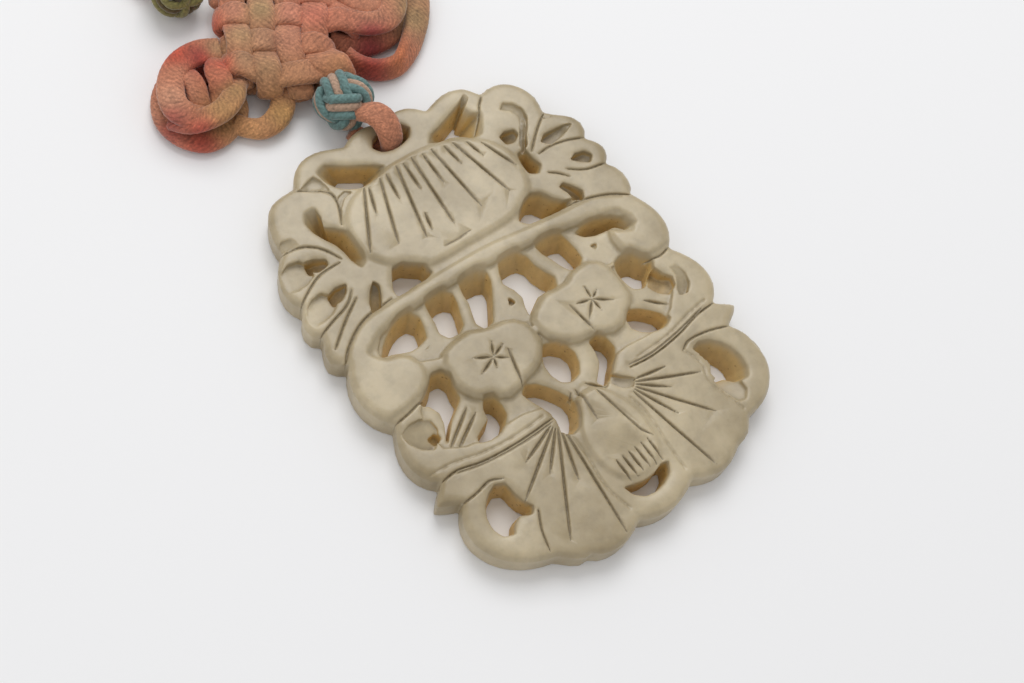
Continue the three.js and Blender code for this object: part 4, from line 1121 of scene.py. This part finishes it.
@dataclass
class JadePlaque:
    """The carved plaque: its solid is remeshed finely, and its forms are rounded and worn by hand."""

    voxel: float = 0.14
    faces: int = 196000
    pillow: float = 0.16
    pillow_reach: float = 1.1
    deepest: float = 0.45

    def build(self, node: bpy.types.Object, stone: bpy.types.Material) -> bpy.types.Object:
        """Builds the plaque.

        Args:
            node: the plaque's CAD node.
            stone: the material that it wears.

        Returns:
            The plaque.
        """
        fine = self.remeshed(node)
        chart = HeightMap()
        points = coordinates(fine) / MM
        chart.fill(points)
        narrow = self.narrow_cuts(chart)
        points[:, 2] += 0.85 * chart.read(narrow, points) * (points[:, 2] > 2.4)
        points = self.softened(fine, points)
        points = self.pillowed(points, chart)
        points[:, 2] -= ENGRAVING.depth(points)
        fine.vertices.foreach_set("co", (points * MM).ravel())
        piece = new_object("carved_plaque", self.thinned(fine), stone)
        self.mark(piece.data, chart)
        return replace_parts(piece, "jade_plaque")

    def remeshed(self, node: bpy.types.Object) -> bpy.types.Mesh:
        """Copies the solid, merges its loose triangles and remeshes it finely."""
        body = bmesh.new()
        body.from_mesh(node.data)
        bmesh.ops.remove_doubles(body, verts=body.verts, dist=1e-6)
        merged = bpy.data.meshes.new("plaque_solid")
        body.to_mesh(merged)
        body.free()
        carrier = bpy.data.objects.new("plaque_carrier", merged)
        bpy.context.scene.collection.objects.link(carrier)
        modifier = carrier.modifiers.new("stone", "REMESH")
        modifier.mode = "VOXEL"
        modifier.voxel_size = self.voxel * MM
        fine = self.applied(carrier)
        bpy.data.objects.remove(carrier)
        return fine

    @staticmethod
    def applied(carrier: bpy.types.Object) -> bpy.types.Mesh:
        """The mesh that an object's modifiers give."""
        graph = bpy.context.evaluated_depsgraph_get()
        return bpy.data.meshes.new_from_object(carrier.evaluated_get(graph))

    def thinned(self, fine: bpy.types.Mesh) -> bpy.types.Mesh:
        """Collapses the flat parts' faces until the mesh has the wanted number."""
        carrier = bpy.data.objects.new("plaque_carrier", fine)
        bpy.context.scene.collection.objects.link(carrier)
        modifier = carrier.modifiers.new("thin", "DECIMATE")
        modifier.ratio = min(1.0, self.faces / (2 * len(fine.polygons)))
        thin = self.applied(carrier)
        bpy.data.objects.remove(carrier)
        bpy.data.meshes.remove(fine)
        return thin

    def narrow_cuts(self, chart: HeightMap) -> np.ndarray:
        """How deep each cell lies in a cut narrower than a millimetre, in millimetres."""
        reach = int(round(0.5 / chart.cell))
        closed = chart.spread(chart.spread(chart.top, reach, np.maximum), reach, np.minimum)
        depth = np.where(chart.top > 1.5, closed - chart.top, 0)
        return chart.blurred(np.clip(depth, 0, 0.6), 1, 1)

    def softened(self, mesh: bpy.types.Mesh, points: np.ndarray) -> np.ndarray:
        """Rubs the sharp edges down without shrinking the forms.

        Args:
            mesh: the fine mesh.
            points: its points in millimetres.

        Returns:
            The moved points.
        """
        ends = np.empty(len(mesh.edges) * 2, dtype=np.int64)
        mesh.edges.foreach_get("vertices", ends)
        a, b = ends[0::2], ends[1::2]
        count = len(points)
        links = np.maximum(np.bincount(a, minlength=count) + np.bincount(b, minlength=count), 1)
        for pull in (0.6, 0.6, 0.6, -0.3) * 3:
            mean = np.stack(
                [
                    np.bincount(a, points[b, k], count) + np.bincount(b, points[a, k], count)
                    for k in range(3)
                ],
                axis=1,
            ) / links[:, None]
            points = points + (mean - points) * pull
        points[:, 2] = np.maximum(points[:, 2], 0)
        return points

    def pillowed(self, points: np.ndarray, chart: HeightMap) -> np.ndarray:
        """Rounds every raised form over towards its edges, as handling and polishing leave it."""
        reach = int(round(self.pillow_reach / chart.cell / 1.7))
        mean = chart.blurred(chart.top, reach)
        drop = np.clip(chart.read(chart.top, points) - chart.read(mean, points) - 0.08, 0, 3.0)
        share = np.clip(points[:, 2] / 4.2, 0, 1) ** 2
        points = points.copy()
        points[:, 2] -= np.minimum(self.pillow * drop, self.deepest) * share
        return points

    def mark(self, mesh: bpy.types.Mesh, chart: HeightMap) -> None:
        """Marks where the stone is engraved or creased, for the material's painted shade, and where it is sunk or sawn,
        for its ochre.

        Args:
            mesh: the finished mesh.
            chart: the front's heights.
        """
        points = coordinates(mesh) / MM
        facing = normals(mesh)
        beyond = chart.spread(chart.outside().astype(float), int(round(0.9 / chart.cell)), np.maximum)
        inside = 1 - chart.read(chart.blurred(beyond, 2, 2), points)
        wall = np.clip((0.7 - facing[:, 2]) / 0.4, 0, 1) * np.clip((4.0 - points[:, 2]) / 0.8, 0, 1)
        floor = np.clip((3.2 - points[:, 2]) / 1.0, 0, 1) * (facing[:, 2] > 0) * 0.8
        recess = np.clip(np.maximum(wall, floor), 0, 1) * np.clip(inside, 0, 1)
        # painted shade in creases: the front's concavity, darker at the feet of raised forms, joins the engraved lines'
        # painted shade
        foot = chart.blurred(chart.top, 2, 2) - chart.blurred(chart.top, 1, 1)
        dirt_and_crease_shade = np.clip(chart.read(foot, points) / 0.3, 0, 1) * np.clip((facing[:, 2] - 0.2) / 0.5, 0, 1)
        groove_shade = np.maximum(ENGRAVING.depth(points, 1.0), 0.55 * dirt_and_crease_shade * np.clip(inside, 0, 1))
        for name, values in (("recess", recess), ("groove_shade", groove_shade)):
            mesh.attributes.new(name, "FLOAT", "POINT").data.foreach_set("value", values)


# ---------------------------------------------------------------------------
# The studio
# ---------------------------------------------------------------------------
@dataclass
class Studio:
    """The camera, the pale table and the soft light."""

    eye: tuple[float, float, float] = (-80.595, -52.330, 185.259)
    right: tuple[float, float, float] = (0.7810307, -0.60139187, 0.1682821)
    down: tuple[float, float, float] = (-0.49771081, -0.76220323, -0.41392051)
    ahead: tuple[float, float, float] = (0.37719359, 0.23952881, -0.89462335)
    lens: float = 52.734

    def camera(self) -> None:
        """Sets the camera above the piece, turned against it."""
        data = bpy.data.cameras.new("camera")
        data.sensor_width = 36.0
        data.lens = self.lens
        data.shift_x = 0.001
        data.clip_start = 0.005
        camera = bpy.data.objects.new("camera", data)
        back = -Vector(self.ahead)
        frame = Matrix((Vector(self.right), -Vector(self.down), back)).transposed()
        camera.matrix_world = Matrix.Translation(Vector(self.eye) * MM) @ frame.to_4x4()
        bpy.context.scene.collection.objects.link(camera)
        bpy.context.scene.camera = camera

    def table(self) -> None:
        """Lays the table under the piece."""
        slab = bmesh.new()
        bmesh.ops.create_grid(slab, x_segments=1, y_segments=1, size=0.9)
        mesh = bpy.data.meshes.new("table")
        slab.to_mesh(mesh)
        slab.free()
        mesh.materials.append(PaleBoard().make())
        table = bpy.data.objects.new("table", mesh)
        bpy.context.scene.collection.objects.link(table)
        table.location.z = -0.00002

    def lamp(self, name: str, place: tuple[float, float, float], size: float, power: float) -> None:
        """Hangs a square soft light that looks at the piece.

        Args:
            name: its name.
            place: where it hangs, in metres.
            size: its side in metres.
            power: its power in watts.
        """
        data = bpy.data.lights.new(name, "AREA")
        data.shape = "SQUARE"
        data.size = size
        data.energy = power
        light = bpy.data.objects.new(name, data)
        light.location = place
        light.rotation_euler = (-Vector(place)).to_track_quat("-Z", "Y").to_euler()
        bpy.context.scene.collection.objects.link(light)

    def light(self) -> None:
        """Lights the piece softly from above and from its far side, with a pale sky all round."""
        world = bpy.data.worlds.new("sky")
        world.use_nodes = True
        sky = world.node_tree.nodes["Background"]
        sky.inputs["Color"].default_value = (1.0, 1.0, 1.0, 1)
        sky.inputs["Strength"].default_value = 0.6
        bpy.context.scene.world = world
        self.lamp("key", (0.2, 0.33, 0.56), 0.42, 2.1)
        self.lamp("fill", (-0.55, 0.2, 0.45), 0.5, 0.5)
        bpy.context.scene.view_settings.view_transform = "Standard"
        bpy.context.scene.view_settings.look = "None"


def main() -> None:
    """Builds every piece in order."""
    logging.basicConfig(level=logging.INFO, format="%(message)s")
    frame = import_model()
    studio = Studio()
    studio.camera()
    salmon = BraidedSilk("salmon_braided_silk").make()
    turquoise = BraidedSilk("turquoise_braided_silk", 0.2).make()
    olive = BraidedSilk("olive_braided_silk", 0.2).make()
    cords = {cord.name: cord.build(salmon) for cord in (SUSPENSION_LOOP, LOWER_EAR, RIGHT_EAR, HANGING_LOOP)}
    knots = WovenKnot().build(salmon)
    rosettes = [LEFT_ROSETTE.build(salmon), RIGHT_ROSETTE.build(salmon)]
    buttons = [BUTTON.build(turquoise), OLIVE.build(olive)]
    HANGING_LOOP.declare()
    RIGHT_EAR.declare()
    JadePlaque().build(frame["nodes"]["jade_plaque"], Nephrite().make())
    studio.table()
    studio.light()


if __name__ == "__main__":
    main()
